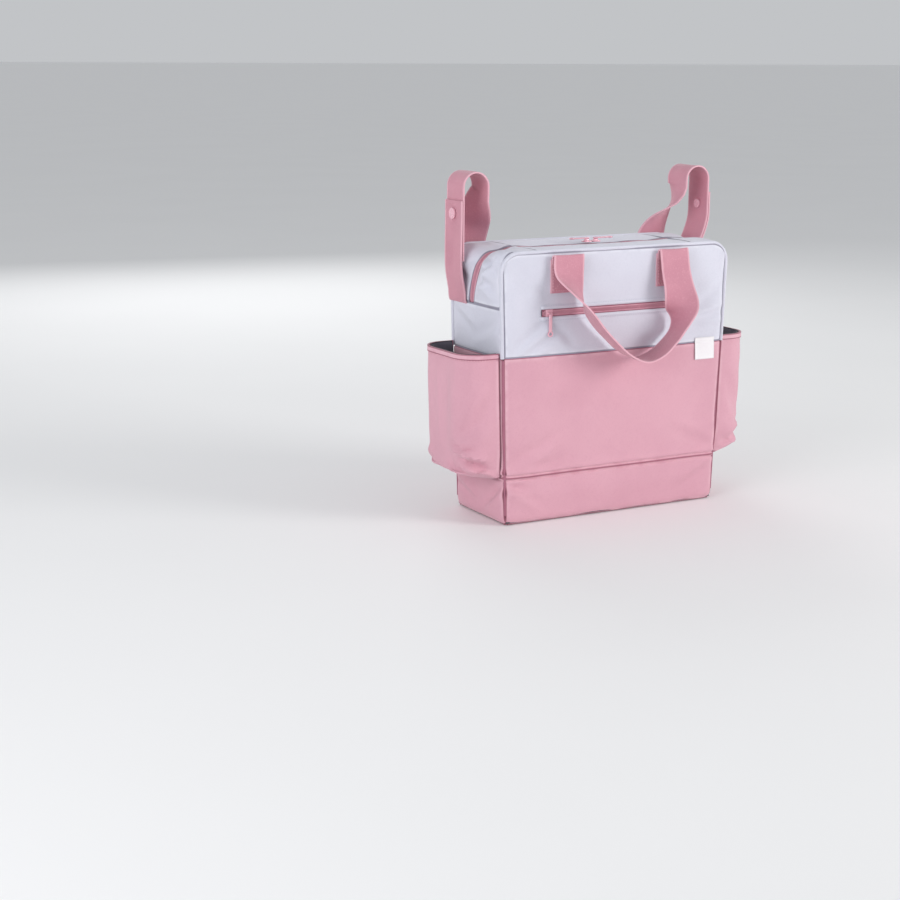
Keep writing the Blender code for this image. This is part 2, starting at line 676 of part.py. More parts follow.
def main():
    clear_scene()
    looks = {
        "pink": finish("pink fabric", (0.66, 0.37, 0.46)),
        "grey": finish("pale grey fabric", (0.66, 0.67, 0.77)),
        "webbing": finish("pink webbing", (0.62, 0.33, 0.40), 0.8),
        "zip": finish("pink zip", (0.52, 0.22, 0.30), 0.6),
        "snap": finish("pink snap", (0.75, 0.45, 0.54), 0.35),
        "lining": finish("lining", (0.16, 0.15, 0.18), 0.8),
        "board": finish("board", (0.10, 0.10, 0.11), 0.7),
        "foam": finish("foam", (0.75, 0.74, 0.70), 0.95),
        "label": finish("label", (0.90, 0.88, 0.90), 0.7),
    }
    add_shell(looks)
    add_inside(looks)
    add_flaps(looks)
    add_main_sliders(looks)
    add_front_zip(looks)
    for side, label in ((-1, "left"), (1, "right")):
        add_side_pocket(f"{label}_pocket", side, looks["pink"])
        add_pocket_hem(f"{label}_pocket_hem", side, looks["pink"])
        add_bar_strap(side, label, looks)
    add_handles(looks)
    add_label(looks)


main()
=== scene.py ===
"""Dressed model of a box-shaped fabric changing bag: two-tone shell, zipped top, handles and bar straps."""

import json
import logging
import math
from dataclasses import dataclass
from enum import Enum
from typing import Callable, Sequence

import bpy
import numpy as np
from mathutils import Matrix, Vector, noise
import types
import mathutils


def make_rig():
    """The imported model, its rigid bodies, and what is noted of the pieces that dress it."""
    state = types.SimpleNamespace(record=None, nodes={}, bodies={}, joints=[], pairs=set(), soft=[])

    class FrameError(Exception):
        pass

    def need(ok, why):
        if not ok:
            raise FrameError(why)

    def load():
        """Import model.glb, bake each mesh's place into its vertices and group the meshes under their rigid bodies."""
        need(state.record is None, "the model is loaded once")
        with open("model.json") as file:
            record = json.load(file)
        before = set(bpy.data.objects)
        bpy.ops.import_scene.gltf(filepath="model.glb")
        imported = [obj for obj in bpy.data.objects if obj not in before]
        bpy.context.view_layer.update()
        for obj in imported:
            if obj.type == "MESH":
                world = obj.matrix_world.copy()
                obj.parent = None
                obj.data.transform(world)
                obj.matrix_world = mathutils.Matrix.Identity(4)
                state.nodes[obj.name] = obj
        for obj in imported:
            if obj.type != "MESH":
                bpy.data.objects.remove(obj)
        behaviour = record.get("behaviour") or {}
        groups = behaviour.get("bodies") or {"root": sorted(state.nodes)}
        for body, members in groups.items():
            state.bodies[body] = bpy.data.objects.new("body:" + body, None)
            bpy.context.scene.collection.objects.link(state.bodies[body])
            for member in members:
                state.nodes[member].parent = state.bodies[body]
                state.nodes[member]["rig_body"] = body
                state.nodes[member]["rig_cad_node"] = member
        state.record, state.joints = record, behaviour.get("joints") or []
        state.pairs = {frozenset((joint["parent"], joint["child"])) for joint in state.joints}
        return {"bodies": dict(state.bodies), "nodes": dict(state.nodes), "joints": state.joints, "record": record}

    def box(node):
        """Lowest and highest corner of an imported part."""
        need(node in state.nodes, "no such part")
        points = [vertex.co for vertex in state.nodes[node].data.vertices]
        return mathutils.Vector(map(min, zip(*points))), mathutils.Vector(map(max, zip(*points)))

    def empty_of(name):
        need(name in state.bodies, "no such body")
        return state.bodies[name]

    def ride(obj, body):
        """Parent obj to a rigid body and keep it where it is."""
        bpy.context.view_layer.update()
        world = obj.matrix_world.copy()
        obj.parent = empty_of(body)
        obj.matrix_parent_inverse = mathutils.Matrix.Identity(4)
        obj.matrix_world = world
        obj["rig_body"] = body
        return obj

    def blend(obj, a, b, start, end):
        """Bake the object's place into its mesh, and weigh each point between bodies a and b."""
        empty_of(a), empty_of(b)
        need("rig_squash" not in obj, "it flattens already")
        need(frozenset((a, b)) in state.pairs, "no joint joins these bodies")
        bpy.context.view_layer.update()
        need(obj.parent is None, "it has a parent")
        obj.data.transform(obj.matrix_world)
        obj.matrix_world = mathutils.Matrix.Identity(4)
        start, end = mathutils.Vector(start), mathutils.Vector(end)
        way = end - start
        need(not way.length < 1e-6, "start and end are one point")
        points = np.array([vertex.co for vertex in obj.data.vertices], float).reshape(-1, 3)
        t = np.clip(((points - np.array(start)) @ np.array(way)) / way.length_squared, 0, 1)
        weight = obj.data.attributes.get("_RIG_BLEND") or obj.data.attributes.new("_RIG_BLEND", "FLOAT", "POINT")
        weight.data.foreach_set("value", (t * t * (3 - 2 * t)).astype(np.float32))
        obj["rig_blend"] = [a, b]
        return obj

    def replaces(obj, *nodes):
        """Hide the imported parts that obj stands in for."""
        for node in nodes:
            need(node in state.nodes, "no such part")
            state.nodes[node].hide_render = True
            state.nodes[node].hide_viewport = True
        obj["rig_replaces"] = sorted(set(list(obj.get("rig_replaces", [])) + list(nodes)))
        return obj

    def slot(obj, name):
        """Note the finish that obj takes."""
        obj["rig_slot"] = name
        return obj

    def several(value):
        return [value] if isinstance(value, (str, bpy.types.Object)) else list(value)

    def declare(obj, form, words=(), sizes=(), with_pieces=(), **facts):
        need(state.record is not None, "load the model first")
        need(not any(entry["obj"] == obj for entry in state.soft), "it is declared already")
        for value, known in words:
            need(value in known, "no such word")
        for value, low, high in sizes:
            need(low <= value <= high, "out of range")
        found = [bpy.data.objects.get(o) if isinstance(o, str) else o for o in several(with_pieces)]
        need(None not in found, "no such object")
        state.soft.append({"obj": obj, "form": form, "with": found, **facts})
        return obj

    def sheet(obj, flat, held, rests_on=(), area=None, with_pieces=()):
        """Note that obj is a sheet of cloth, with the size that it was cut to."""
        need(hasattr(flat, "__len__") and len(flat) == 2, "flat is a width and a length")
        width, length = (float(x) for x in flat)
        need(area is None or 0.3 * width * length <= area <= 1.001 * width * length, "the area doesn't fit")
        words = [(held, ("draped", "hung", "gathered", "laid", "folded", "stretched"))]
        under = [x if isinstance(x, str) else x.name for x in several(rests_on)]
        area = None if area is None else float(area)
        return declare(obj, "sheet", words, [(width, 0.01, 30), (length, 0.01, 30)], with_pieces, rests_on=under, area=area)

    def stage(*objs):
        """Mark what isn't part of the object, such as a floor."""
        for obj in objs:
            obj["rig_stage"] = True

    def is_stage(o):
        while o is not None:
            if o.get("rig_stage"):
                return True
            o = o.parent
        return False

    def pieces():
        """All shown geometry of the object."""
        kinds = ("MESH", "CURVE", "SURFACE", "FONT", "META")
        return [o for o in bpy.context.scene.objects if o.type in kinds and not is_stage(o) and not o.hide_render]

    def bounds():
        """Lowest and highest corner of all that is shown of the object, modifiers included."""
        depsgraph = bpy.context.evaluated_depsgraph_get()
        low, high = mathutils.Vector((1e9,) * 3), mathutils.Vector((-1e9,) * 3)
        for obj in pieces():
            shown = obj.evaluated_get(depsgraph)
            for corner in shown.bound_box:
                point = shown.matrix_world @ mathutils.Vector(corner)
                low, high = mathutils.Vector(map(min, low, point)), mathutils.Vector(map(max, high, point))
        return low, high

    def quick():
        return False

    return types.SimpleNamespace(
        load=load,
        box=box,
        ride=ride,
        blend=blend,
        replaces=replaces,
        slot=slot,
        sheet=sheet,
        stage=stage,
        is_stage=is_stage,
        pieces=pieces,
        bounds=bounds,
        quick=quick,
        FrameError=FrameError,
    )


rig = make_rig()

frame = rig.load()
CAD_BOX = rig.bounds()
LOG = logging.getLogger("changing_bag")

WELD_REACH = 1e-6
EDGE_REACH = 0.02

Place = Callable[[float, float], Vector]


class Side(Enum):
    """Left or right of the bag for someone facing its front."""

    LEFT = -1
    RIGHT = 1

    @property
    def word(self) -> str:
        """The side's name in lower case."""
        return self.name.lower()


class Face(Enum):
    """Front or back of the bag."""

    FRONT = -1
    BACK = 1

    @property
    def word(self) -> str:
        """The face's name in lower case."""
        return self.name.lower()


class Zone(Enum):
    """The two cloths of the shell."""

    PINK = "pink_fabric"
    GREY = "grey_fabric"


# --- Numbers


def smooth(low: float, high: float, value: float) -> float:
    """Ease from 0 at low to 1 at high.

    Args:
        low: where the step starts.
        high: where the step ends.
        value: the place asked about.

    Returns:
        The eased share, from 0 to 1.
    """
    t = min(1.0, max(0.0, (value - low) / (high - low)))
    return t * t * (3 - 2 * t)


def bell(value: float, centre: float, width: float) -> float:
    """Return a bell of height 1 at centre, falling to 0.37 one width away."""
    return math.exp(-(((value - centre) / width) ** 2))


def rough(x: float, y: float, z: float, scale: float) -> float:
    """Return smooth noise of about -1 to 1, with features 1/scale metres across."""
    return noise.noise(Vector((x * scale, y * scale, z * scale)))


def spread(low: float, high: float, step: float, dense: Sequence[tuple[float, float]] = ()) -> list[float]:
    """Return rising values from low to high, closer together in the dense spans.

    Args:
        low: first value.
        high: last value.
        step: usual spacing.
        dense: (centre, reach) spans that get a quarter of the spacing.

    Returns:
        The values, with both ends in them.
    """
    values = {low, high}
    count = max(1, round((high - low) / step))
    values.update(low + (high - low) * i / count for i in range(count + 1))
    for centre, reach in dense:
        fine = max(2, round(2 * reach / (step / 4)))
        for i in range(fine + 1):
            value = centre - reach + 2 * reach * i / fine
            if low < value < high:
                values.add(value)
    kept = [low]
    for value in sorted(values):
        if value - kept[-1] > step / 8 and high - value > step / 8:
            kept.append(value)
    return [*kept, high]


def catmull(points: Sequence[Sequence[float]], steps: int) -> list[Vector]:
    """Return a smooth curve through points of any dimension, with steps points from one to the next."""
    knots = [Vector(p) for p in points]
    knots = [knots[0] * 2 - knots[1], *knots, knots[-1] * 2 - knots[-2]]
    path = []
    for a, b, c, d in zip(knots, knots[1:], knots[2:], knots[3:]):
        for i in range(steps):
            t = i / steps
            path.append(
                (b * 2 + (c - a) * t + (a * 2 - b * 5 + c * 4 - d) * t**2 + (b * 3 - a - c * 3 + d) * t**3) / 2
            )
    path.append(knots[-2])
    return path


def arc(centre: tuple[float, float], radius: float, start: float, end: float, steps: int) -> list[tuple[float, float]]:
    """Return points of a flat arc from start to end, in degrees."""
    turns = [math.radians(start + (end - start) * i / steps) for i in range(steps + 1)]
    return [(centre[0] + radius * math.cos(a), centre[1] + radius * math.sin(a)) for a in turns]


def travel(path: Sequence[Vector]) -> list[Vector]:
    """Return the direction of travel at each point of a path."""
    ends = [path[0], *path, path[-1]]
    return [(after - before).normalized() for before, after in zip(ends, ends[2:])]


def lengths(path: Sequence[Vector]) -> list[float]:
    """Return the distance run at each point of a path."""
    run = [0.0]
    for a, b in zip(path, path[1:]):
        run.append(run[-1] + (b - a).length)
    return run


# --- Meshes


def deselect() -> None:
    """Leave nothing selected, so that an operator acts on its own piece only."""
    for other in list(bpy.context.selected_objects):
        other.select_set(False)


def pick(made: bpy.types.Object) -> None:
    """Make a piece the only selected and the active one."""
    deselect()
    made.select_set(True)
    bpy.context.view_layer.objects.active = made


def apply_modifier(made: bpy.types.Object, kind: str, **settings: object) -> None:
    """Add a modifier of that kind with these settings and apply it."""
    pick(made)
    added = made.modifiers.new(kind.lower(), kind)
    for key, value in settings.items():
        setattr(added, key, value)
    bpy.ops.object.modifier_apply(modifier=added.name)


def soften(made: bpy.types.Object, angle: float = 40.0) -> bpy.types.Object:
    """Shade a piece smooth, apart from edges sharper than angle in degrees."""
    made.data.shade_smooth()
    made.data.set_sharp_from_angle(angle=math.radians(angle))
    return made


def weld(made: bpy.types.Object) -> None:
    """Merge the points of a piece that lie on each other."""
    pick(made)
    bpy.ops.object.mode_set(mode="EDIT")
    bpy.ops.mesh.select_all(action="SELECT")
    bpy.ops.mesh.remove_doubles(threshold=WELD_REACH)
    bpy.ops.object.mode_set(mode="OBJECT")


def face_out(made: bpy.types.Object) -> None:
    """Turn the faces of a closed piece outwards."""
    pick(made)
    bpy.ops.object.mode_set(mode="EDIT")
    bpy.ops.mesh.select_all(action="SELECT")
    bpy.ops.mesh.normals_make_consistent(inside=False)
    bpy.ops.object.mode_set(mode="OBJECT")


def from_points(name: str, points: Sequence[Vector], faces: Sequence[tuple[int, ...]]) -> bpy.types.Object:
    """Make a piece of that name from its points and faces."""
    mesh = bpy.data.meshes.new(name)
    mesh.from_pydata([tuple(p) for p in points], [], faces)
    made = bpy.data.objects.new(name, mesh)
    bpy.context.scene.collection.objects.link(made)
    return made


def corners(node: str) -> tuple[Vector, Vector, Vector]:
    """Return a CAD node's lowest corner, highest corner and middle."""
    low, high = (Vector(corner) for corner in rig.box(node))
    return low, high, (low + high) / 2


def stations(path: Sequence[Vector]) -> list[float]:
    """Return the number of each point of a path, as the rows of a grid."""
    return [float(k) for k in range(len(path))]


def grid(
    name: str,
    us: Sequence[float],
    vs: Sequence[float],
    place: Place,
    cut: tuple[float, float],
) -> bpy.types.Object:
    """Start from a flat grid and lay it where place says.

    Args:
        name: the piece's name.
        us: positions of the columns, as place takes them.
        vs: positions of the rows.
        place: gives the point of (u, v); faces point along d/du x d/dv.
        cut: the flat width and length in metres, which the cloth map and the edge attribute are in.

    Returns:
        The new object.
    """
    deselect()
    across, along = len(us) - 1, len(vs) - 1
    bpy.ops.mesh.primitive_grid_add(x_subdivisions=across, y_subdivisions=along, size=1.0)
    made = bpy.context.active_object
    made.name = made.data.name = name
    mesh = made.data
    flat = np.zeros(len(mesh.vertices) * 3)
    mesh.vertices.foreach_get("co", flat)
    flat = flat.reshape(-1, 3)
    i = np.rint((flat[:, 0] + 0.5) * across).astype(int)
    j = np.rint((flat[:, 1] + 0.5) * along).astype(int)
    mesh.vertices.foreach_set("co", np.array([place(us[a], vs[b]) for a, b in zip(i, j)]).ravel())
    u = (np.array(us)[i] - us[0]) / (us[-1] - us[0]) * cut[0]
    v = (np.array(vs)[j] - vs[0]) / (vs[-1] - vs[0]) * cut[1]
    corner = np.zeros(len(mesh.loops), np.int32)
    mesh.loops.foreach_get("vertex_index", corner)
    layer = mesh.uv_layers.active or mesh.uv_layers.new()
    layer.name = "cloth"
    layer.data.foreach_set("uv", np.stack([u[corner], v[corner]], 1).ravel())
    near = np.minimum(np.minimum(u, cut[0] - u), np.minimum(v, cut[1] - v))
    edge = mesh.attributes.new("edge", "FLOAT", "POINT")
    edge.data.foreach_set("value", np.clip(near / EDGE_REACH, 0, 1).astype(np.float32))
    return made


def thicken(made: bpy.types.Object, wall: float, offset: float = -1.0) -> bpy.types.Object:
    """Give a sheet its thickness, inwards unless offset says otherwise."""
    apply_modifier(made, "SOLIDIFY", thickness=wall, offset=offset, use_even_offset=False, use_rim=True)
    return soften(made)


def ribbon(
    name: str,
    path: Sequence[Vector],
    across: Sequence[Vector],
    width: float,
    wall: float,
    cup: float = 0.0,
) -> bpy.types.Object:
    """Make webbing along a path.

    Args:
        name: the piece's name.
        path: points of its middle line.
        across: direction of its width at each point.
        width: its width.
        wall: its thickness.
        cup: how far its middle bows out of flat.

    Returns:
        The new closed strip.
    """
    run = lengths(path)
    ways = travel(path)

    def place(u: float, v: float) -> Vector:
        k = int(round(v))
        through = ways[k].cross(across[k]).normalized()
        wide = through.cross(ways[k]).normalized()
        return path[k] + wide * (u * width) - through * (cup * (1 - 4 * u * u))

    columns = [-0.5, -0.47, -0.4, -0.25, 0.0, 0.25, 0.4, 0.47, 0.5]
    made = grid(name, columns, stations(path), place, (width, run[-1]))
    layer = made.data.uv_layers["cloth"]
    total = run[-1] / (len(path) - 1)
    for entry in layer.data:
        k = entry.uv[1] / total
        low = min(int(k), len(run) - 2)
        entry.uv[1] = run[low] + (run[low + 1] - run[low]) * (k - low)
    apply_modifier(made, "SOLIDIFY", thickness=wall, offset=0.0, use_rim=True)
    return soften(made, 50)


def tube(name: str, path: Sequence[Vector], radius: float, sides: int, wide: Vector) -> bpy.types.Object:
    """Make a round cord along a path, with closed ends.

    Args:
        name: the piece's name.
        path: points of its middle line.
        radius: its radius.
        sides: faces round it.
        wide: a direction that the path never runs along.

    Returns:
        The new closed cord.
    """
    ways = travel(path)

    def place(u: float, v: float) -> Vector:
        k = int(round(v))
        through = ways[k].cross(wide).normalized()
        flat = through.cross(ways[k]).normalized()
        turn = 2 * math.pi * u
        return path[k] + (flat * math.cos(turn) - through * math.sin(turn)) * radius

    columns = [i / sides for i in range(sides + 1)]
    made = grid(name, columns, stations(path), place, (2 * math.pi * radius, lengths(path)[-1]))
    plain = np.ones(len(made.data.vertices), np.float32)
    made.data.attributes["edge"].data.foreach_set("value", plain)
    weld(made)
    bpy.ops.object.mode_set(mode="EDIT")
    bpy.ops.mesh.select_all(action="DESELECT")
    bpy.ops.mesh.select_non_manifold()
    bpy.ops.mesh.edge_face_add()
    bpy.ops.object.mode_set(mode="OBJECT")
    face_out(made)
    return soften(made, 60)


def join(name: str, parts: Sequence[bpy.types.Object]) -> bpy.types.Object:
    """Join parts into one piece of that name."""
    deselect()
    for part in parts:
        part.select_set(True)
    bpy.context.view_layer.objects.active = parts[0]
    bpy.ops.object.join()
    parts[0].name = parts[0].data.name = name
    return parts[0]


def settle(made: bpy.types.Object) -> None:
    """Put a piece's place into its mesh, so that its object sits at the origin."""
    pick(made)
    bpy.ops.object.transform_apply(location=True, rotation=True, scale=True)


def block(name: str, low: Vector, high: Vector, rounding: float, segments: int) -> bpy.types.Object:
    """Make a box between two corners with rounded edges, as the start of a hard piece."""
    deselect()
    bpy.ops.mesh.primitive_cube_add(size=1.0, location=(low + high) / 2)
    made = bpy.context.active_object
    made.name = made.data.name = name
    made.scale = high - low
    settle(made)
    apply_modifier(made, "BEVEL", width=rounding, segments=segments, limit_method="ANGLE")
    return soften(made, 35)


# --- Finishes


class Bench:
    """Adds nodes to one new material and joins them."""

    def __init__(self, name: str) -> None:
        """Start a material with its shader."""
        self.material = bpy.data.materials.new(name)
        self.material.use_nodes = True
        self.tree = self.material.node_tree
        self.shader = self.tree.nodes["Principled BSDF"]

    def node(self, kind: str, **settings: object) -> bpy.types.Node:
        """Add a node of that kind and set its own fields."""
        added = self.tree.nodes.new(kind)
        for key, value in settings.items():
            setattr(added, key, value)
        return added

    def link(self, source: object, target: object) -> None:
        """Join an output to an input."""
        self.tree.links.new(source, target)

    def maths(self, operation: str, a: object, b: object = None, clamp: bool = False) -> object:
        """Add a Math node on two sockets or numbers and return its result."""
        added = self.node("ShaderNodeMath", operation=operation, use_clamp=clamp)
        for socket, value in zip(added.inputs, (a, b)):
            if isinstance(value, (int, float)):
                socket.default_value = value
            elif value is not None:
                self.link(value, socket)
        return added.outputs[0]

    def ramp(self, value: object, low: float, high: float, bottom: float = 0.0, top: float = 1.0) -> object:
        """Map a socket from low..high to bottom..top, smoothly and clamped."""
        added = self.node("ShaderNodeMapRange", interpolation_type="SMOOTHSTEP")
        self.link(value, added.inputs["Value"])
        for key, number in (("From Min", low), ("From Max", high), ("To Min", bottom), ("To Max", top)):
            added.inputs[key].default_value = number
        return added.outputs["Result"]

    def mix(self, share: object, a: object, b: object) -> object:
        """Mix two colours, each a socket or three numbers, by a share and return the result."""
        added = self.node("ShaderNodeMix", data_type="RGBA")
        if isinstance(share, (int, float)):
            added.inputs["Factor"].default_value = share
        else:
            self.link(share, added.inputs["Factor"])
        for key, value in ((6, a), (7, b)):
            if isinstance(value, tuple):
                added.inputs[key].default_value = (*value, 1.0)
            else:
                self.link(value, added.inputs[key])
        return added.outputs[2]

    def noise(self, scale: float, detail: float = 3.0, vector: object = None) -> object:
        """Add noise on Object coordinates, or on vector, and return its value."""
        added = self.node("ShaderNodeTexNoise")
        added.inputs["Scale"].default_value = scale
        added.inputs["Detail"].default_value = detail
        self.link(vector or self.node("ShaderNodeTexCoord").outputs["Object"], added.inputs["Vector"])
        return added.outputs["Fac"]

    def cloth_map(self) -> tuple[object, object]:
        """Return the two parts of the cloth map, in metres."""
        mapped = self.node("ShaderNodeUVMap", uv_map="cloth").outputs["UV"]
        parts = self.node("ShaderNodeSeparateXYZ")
        self.link(mapped, parts.inputs[0])
        return parts.outputs[0], parts.outputs[1]

    def wave(self, value: object, period: float) -> object:
        """Return a sine of a length in metres, from -1 to 1."""
        return self.maths("SINE", self.maths("MULTIPLY", value, 2 * math.pi / period))

    def bump(self, height: object, strength: float, depth: float) -> None:
        """Raise the surface by a height."""
        added = self.node("ShaderNodeBump")
        added.inputs["Strength"].default_value = strength
        added.inputs["Distance"].default_value = depth
        self.link(height, added.inputs["Height"])
        self.link(added.outputs[0], self.shader.inputs["Normal"])

    def fixed(self, **values: float) -> None:
        """Set the shader's own numbers, named with underscores for spaces."""
        for key, value in values.items():
            self.shader.inputs[key.replace("_", " ")].default_value = value


@dataclass(frozen=True)
class ClothFinish:
    """Plain-woven polyester: threads, a slightly heathered tone, paler worn edges and painted shade along its seams."""

    name: str
    colour: tuple[float, float, float]
    shade: tuple[float, float, float]
    worn: tuple[float, float, float]
    # seam is a painted shade colour: the shadow in the groove along the cloth's sewn borders, painted on.
    seam: tuple[float, float, float]
    thread: float = 0.0011
    sheen: float = 0.25
    # Strength and reach of the painted seam shade, in from the sheet's borders.
    seam_depth: float = 0.85
    seam_reach: float = 0.080

    def material(self) -> bpy.types.Material:
        """Build the finish's nodes."""
        bench = Bench(self.name)
        u, v = bench.cloth_map()
        weave = bench.maths("MULTIPLY", bench.wave(u, self.thread), bench.wave(v, self.thread))
        slub = bench.noise(420.0, 2.0)
        blotch = bench.noise(11.0, 4.0)
        tone = bench.mix(bench.ramp(blotch, 0.35, 0.7, 0.0, 0.38), self.colour, self.shade)
        tone = bench.mix(bench.ramp(slub, 0.45, 0.75, 0.0, 0.22), tone, self.shade)
        tone = bench.mix(bench.ramp(weave, -1.0, 1.0, 0.16, 0.0), tone, self.shade)
        edge = bench.node("ShaderNodeAttribute", attribute_name="edge").outputs["Fac"]
        rub = bench.maths("MULTIPLY", bench.ramp(edge, 0.10, 0.34, 0.40, 0.0), bench.ramp(bench.noise(60.0), 0.35, 0.6))
        tone = bench.mix(rub, tone, self.worn)
        # Painted shade: a dark band along the sheet's borders stands in for the shadow in the seam grooves.
        tone = bench.mix(bench.ramp(edge, self.seam_reach / 2, self.seam_reach, self.seam_depth, 0.0), tone, self.seam)
        bench.link(tone, bench.shader.inputs["Base Color"])
        bench.link(bench.ramp(slub, 0.3, 0.7, 0.80, 0.92), bench.shader.inputs["Roughness"])
        height = bench.maths("ADD", weave, bench.maths("MULTIPLY", slub, 1.4))
        bench.bump(height, 0.45, 0.00016)
        bench.fixed(Sheen_Weight=self.sheen, Sheen_Roughness=0.45, Specular_IOR_Level=0.25)
        return bench.material


@dataclass(frozen=True)
class WebbingFinish:
    """Heavy webbing with a herringbone face and a paler selvedge along both edges."""

    name: str
    colour: tuple[float, float, float]
    shade: tuple[float, float, float]
    pale: tuple[float, float, float]
    width: float = 0.045
    period: float = 0.0021

    def material(self) -> bpy.types.Material:
        """Build the finish's nodes."""
        bench = Bench(self.name)
        u, v = bench.cloth_map()
        half = self.width / 2
        off = bench.maths("ABSOLUTE", bench.maths("SUBTRACT", u, half))
        chevron = bench.wave(bench.maths("ADD", off, v), self.period)
        cord = bench.wave(u, 0.0016)
        slub = bench.noise(520.0, 2.0)
        blotch = bench.noise(26.0, 3.0)
        tone = bench.mix(bench.ramp(chevron, -1.0, 0.8, 0.45, 0.0), self.colour, self.shade)
        tone = bench.mix(bench.ramp(blotch, 0.38, 0.7, 0.0, 0.35), tone, self.shade)
        tone = bench.mix(bench.ramp(slub, 0.5, 0.8, 0.0, 0.35), tone, self.pale)
        tone = bench.mix(bench.ramp(off, half - 0.0032, half - 0.0008, 0.0, 0.75), tone, self.pale)
        bench.link(tone, bench.shader.inputs["Base Color"])
        bench.link(bench.ramp(slub, 0.3, 0.7, 0.72, 0.9), bench.shader.inputs["Roughness"])
        height = bench.maths("ADD", chevron, bench.maths("MULTIPLY", cord, 0.35))
        bench.bump(bench.maths("ADD", height, slub), 0.6, 0.00022)
        bench.fixed(Sheen_Weight=0.3, Sheen_Roughness=0.4, Specular_IOR_Level=0.3)
        return bench.material


@dataclass(frozen=True)
class HardFinish:
    """Enamelled metal or moulded plastic with fine scuffs."""

    name: str
    colour: tuple[float, float, float]
    scuff: tuple[float, float, float]
    roughness: float
    metallic: float = 0.0
    coat: float = 0.0

    def material(self) -> bpy.types.Material:
        """Build the finish's nodes."""
        bench = Bench(self.name)
        wear = bench.noise(160.0, 5.0)
        scratch = bench.noise(900.0, 2.0)
        tone = bench.mix(bench.ramp(wear, 0.58, 0.72, 0.0, 0.7), self.colour, self.scuff)
        bench.link(tone, bench.shader.inputs["Base Color"])
        rub = bench.ramp(wear, 0.35, 0.75, self.roughness, self.roughness + 0.18)
        bench.link(rub, bench.shader.inputs["Roughness"])
        bench.bump(scratch, 0.25, 0.00008)
        bench.fixed(Metallic=self.metallic, Coat_Weight=self.coat, Coat_Roughness=0.15)
        return bench.material


class Wardrobe:
    """Every finish of the bag, made once."""

    def __init__(self) -> None:
        """Make the materials."""
        # The fourth colour of each cloth is painted shade for the grooves along its seams.
        self.pink = ClothFinish(
            "pink_cloth", (0.700, 0.385, 0.460), (0.590, 0.295, 0.370), (0.830, 0.545, 0.610), (0.310, 0.095, 0.140)
        ).material()
        # The grey's band of painted seam shade is wider, for the shadowed grooves beside the grey welts.
        self.grey = ClothFinish(
            "grey_cloth", (0.690, 0.690, 0.775), (0.570, 0.570, 0.660), (0.850, 0.850, 0.920), (0.215, 0.205, 0.270),
            seam_reach=0.135,
        ).material()
        # The welt's darker pink is painted shade: the sunk corner seam reads as a dark line.
        self.cord_pink = ClothFinish(
            "pink_welt", (0.420, 0.165, 0.230), (0.300, 0.100, 0.150), (0.560, 0.270, 0.340), (0.330, 0.110, 0.165),
            0.0009,
        ).material()
        self.webbing = WebbingFinish(
            "rose_webbing", (0.655, 0.305, 0.375), (0.500, 0.200, 0.265), (0.810, 0.480, 0.550)
        ).material()
        # The tape's dark seam colour paints the shadow that the lips beside the zip cast along its edges.
        self.tape = ClothFinish(
            "zip_tape_cloth", (0.640, 0.320, 0.390), (0.500, 0.215, 0.280), (0.740, 0.430, 0.500),
            (0.240, 0.070, 0.110), 0.0008,
        ).material()
        self.coil = HardFinish("zip_coil", (0.560, 0.250, 0.320), (0.680, 0.350, 0.430), 0.45).material()
        self.enamel = HardFinish(
            "pink_enamel", (0.760, 0.400, 0.480), (0.880, 0.600, 0.660), 0.28, metallic=0.15, coat=0.5
        ).material()
        self.snap = HardFinish("snap_gloss", (0.800, 0.440, 0.520), (0.900, 0.620, 0.680), 0.22, coat=0.6).material()
        self.thread = HardFinish("pink_thread", (0.780, 0.470, 0.540), (0.860, 0.580, 0.640), 0.6).material()
        self.grey_thread = HardFinish("grey_thread", (0.560, 0.560, 0.650), (0.700, 0.700, 0.780), 0.6).material()
        self.lining = ClothFinish(
            "dark_lining", (0.115, 0.105, 0.130), (0.070, 0.065, 0.085), (0.180, 0.170, 0.200),
            (0.050, 0.045, 0.055), 0.0007, 0.15,
        ).material()
        self.board = HardFinish("base_board", (0.070, 0.070, 0.078), (0.130, 0.130, 0.140), 0.6).material()
        self.foam = HardFinish("back_foam", (0.740, 0.730, 0.690), (0.640, 0.630, 0.590), 0.85).material()
        # The label's edges take a weaker band of painted seam shade.
        self.label = ClothFinish(
            "label_satin", (0.920, 0.900, 0.920), (0.820, 0.800, 0.830), (0.960, 0.950, 0.960),
            (0.700, 0.680, 0.700), 0.0006, seam_depth=0.4,
        ).material()


def dress(
    made: bpy.types.Object,
    finish: bpy.types.Material,
    body: str,
    slot: str | None = None,
    replaces: Sequence[str] = (),
    bend: tuple[Sequence[float], Sequence[float]] | None = None,
) -> bpy.types.Object:
    """Give a piece its finish, its body and the CAD nodes it stands for.

    Args:
        made: the finished piece.
        finish: its material.
        body: the body that it rides on.
        slot: the record's slot that its finish comes from.
        replaces: CAD nodes that it stands for.
        bend: the two points between which it turns from the bag to its body, for cloth sewn down at its root.

    Returns:
        The same piece.
    """
    made.data.materials.clear()
    made.data.materials.append(finish)
    if slot:
        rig.slot(made, slot)
    if replaces:
        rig.replaces(made, *replaces)
    if bend:
        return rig.blend(made, "bag", body, start=bend[0], end=bend[1])
    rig.ride(made, body)
    return made


# --- Stitching


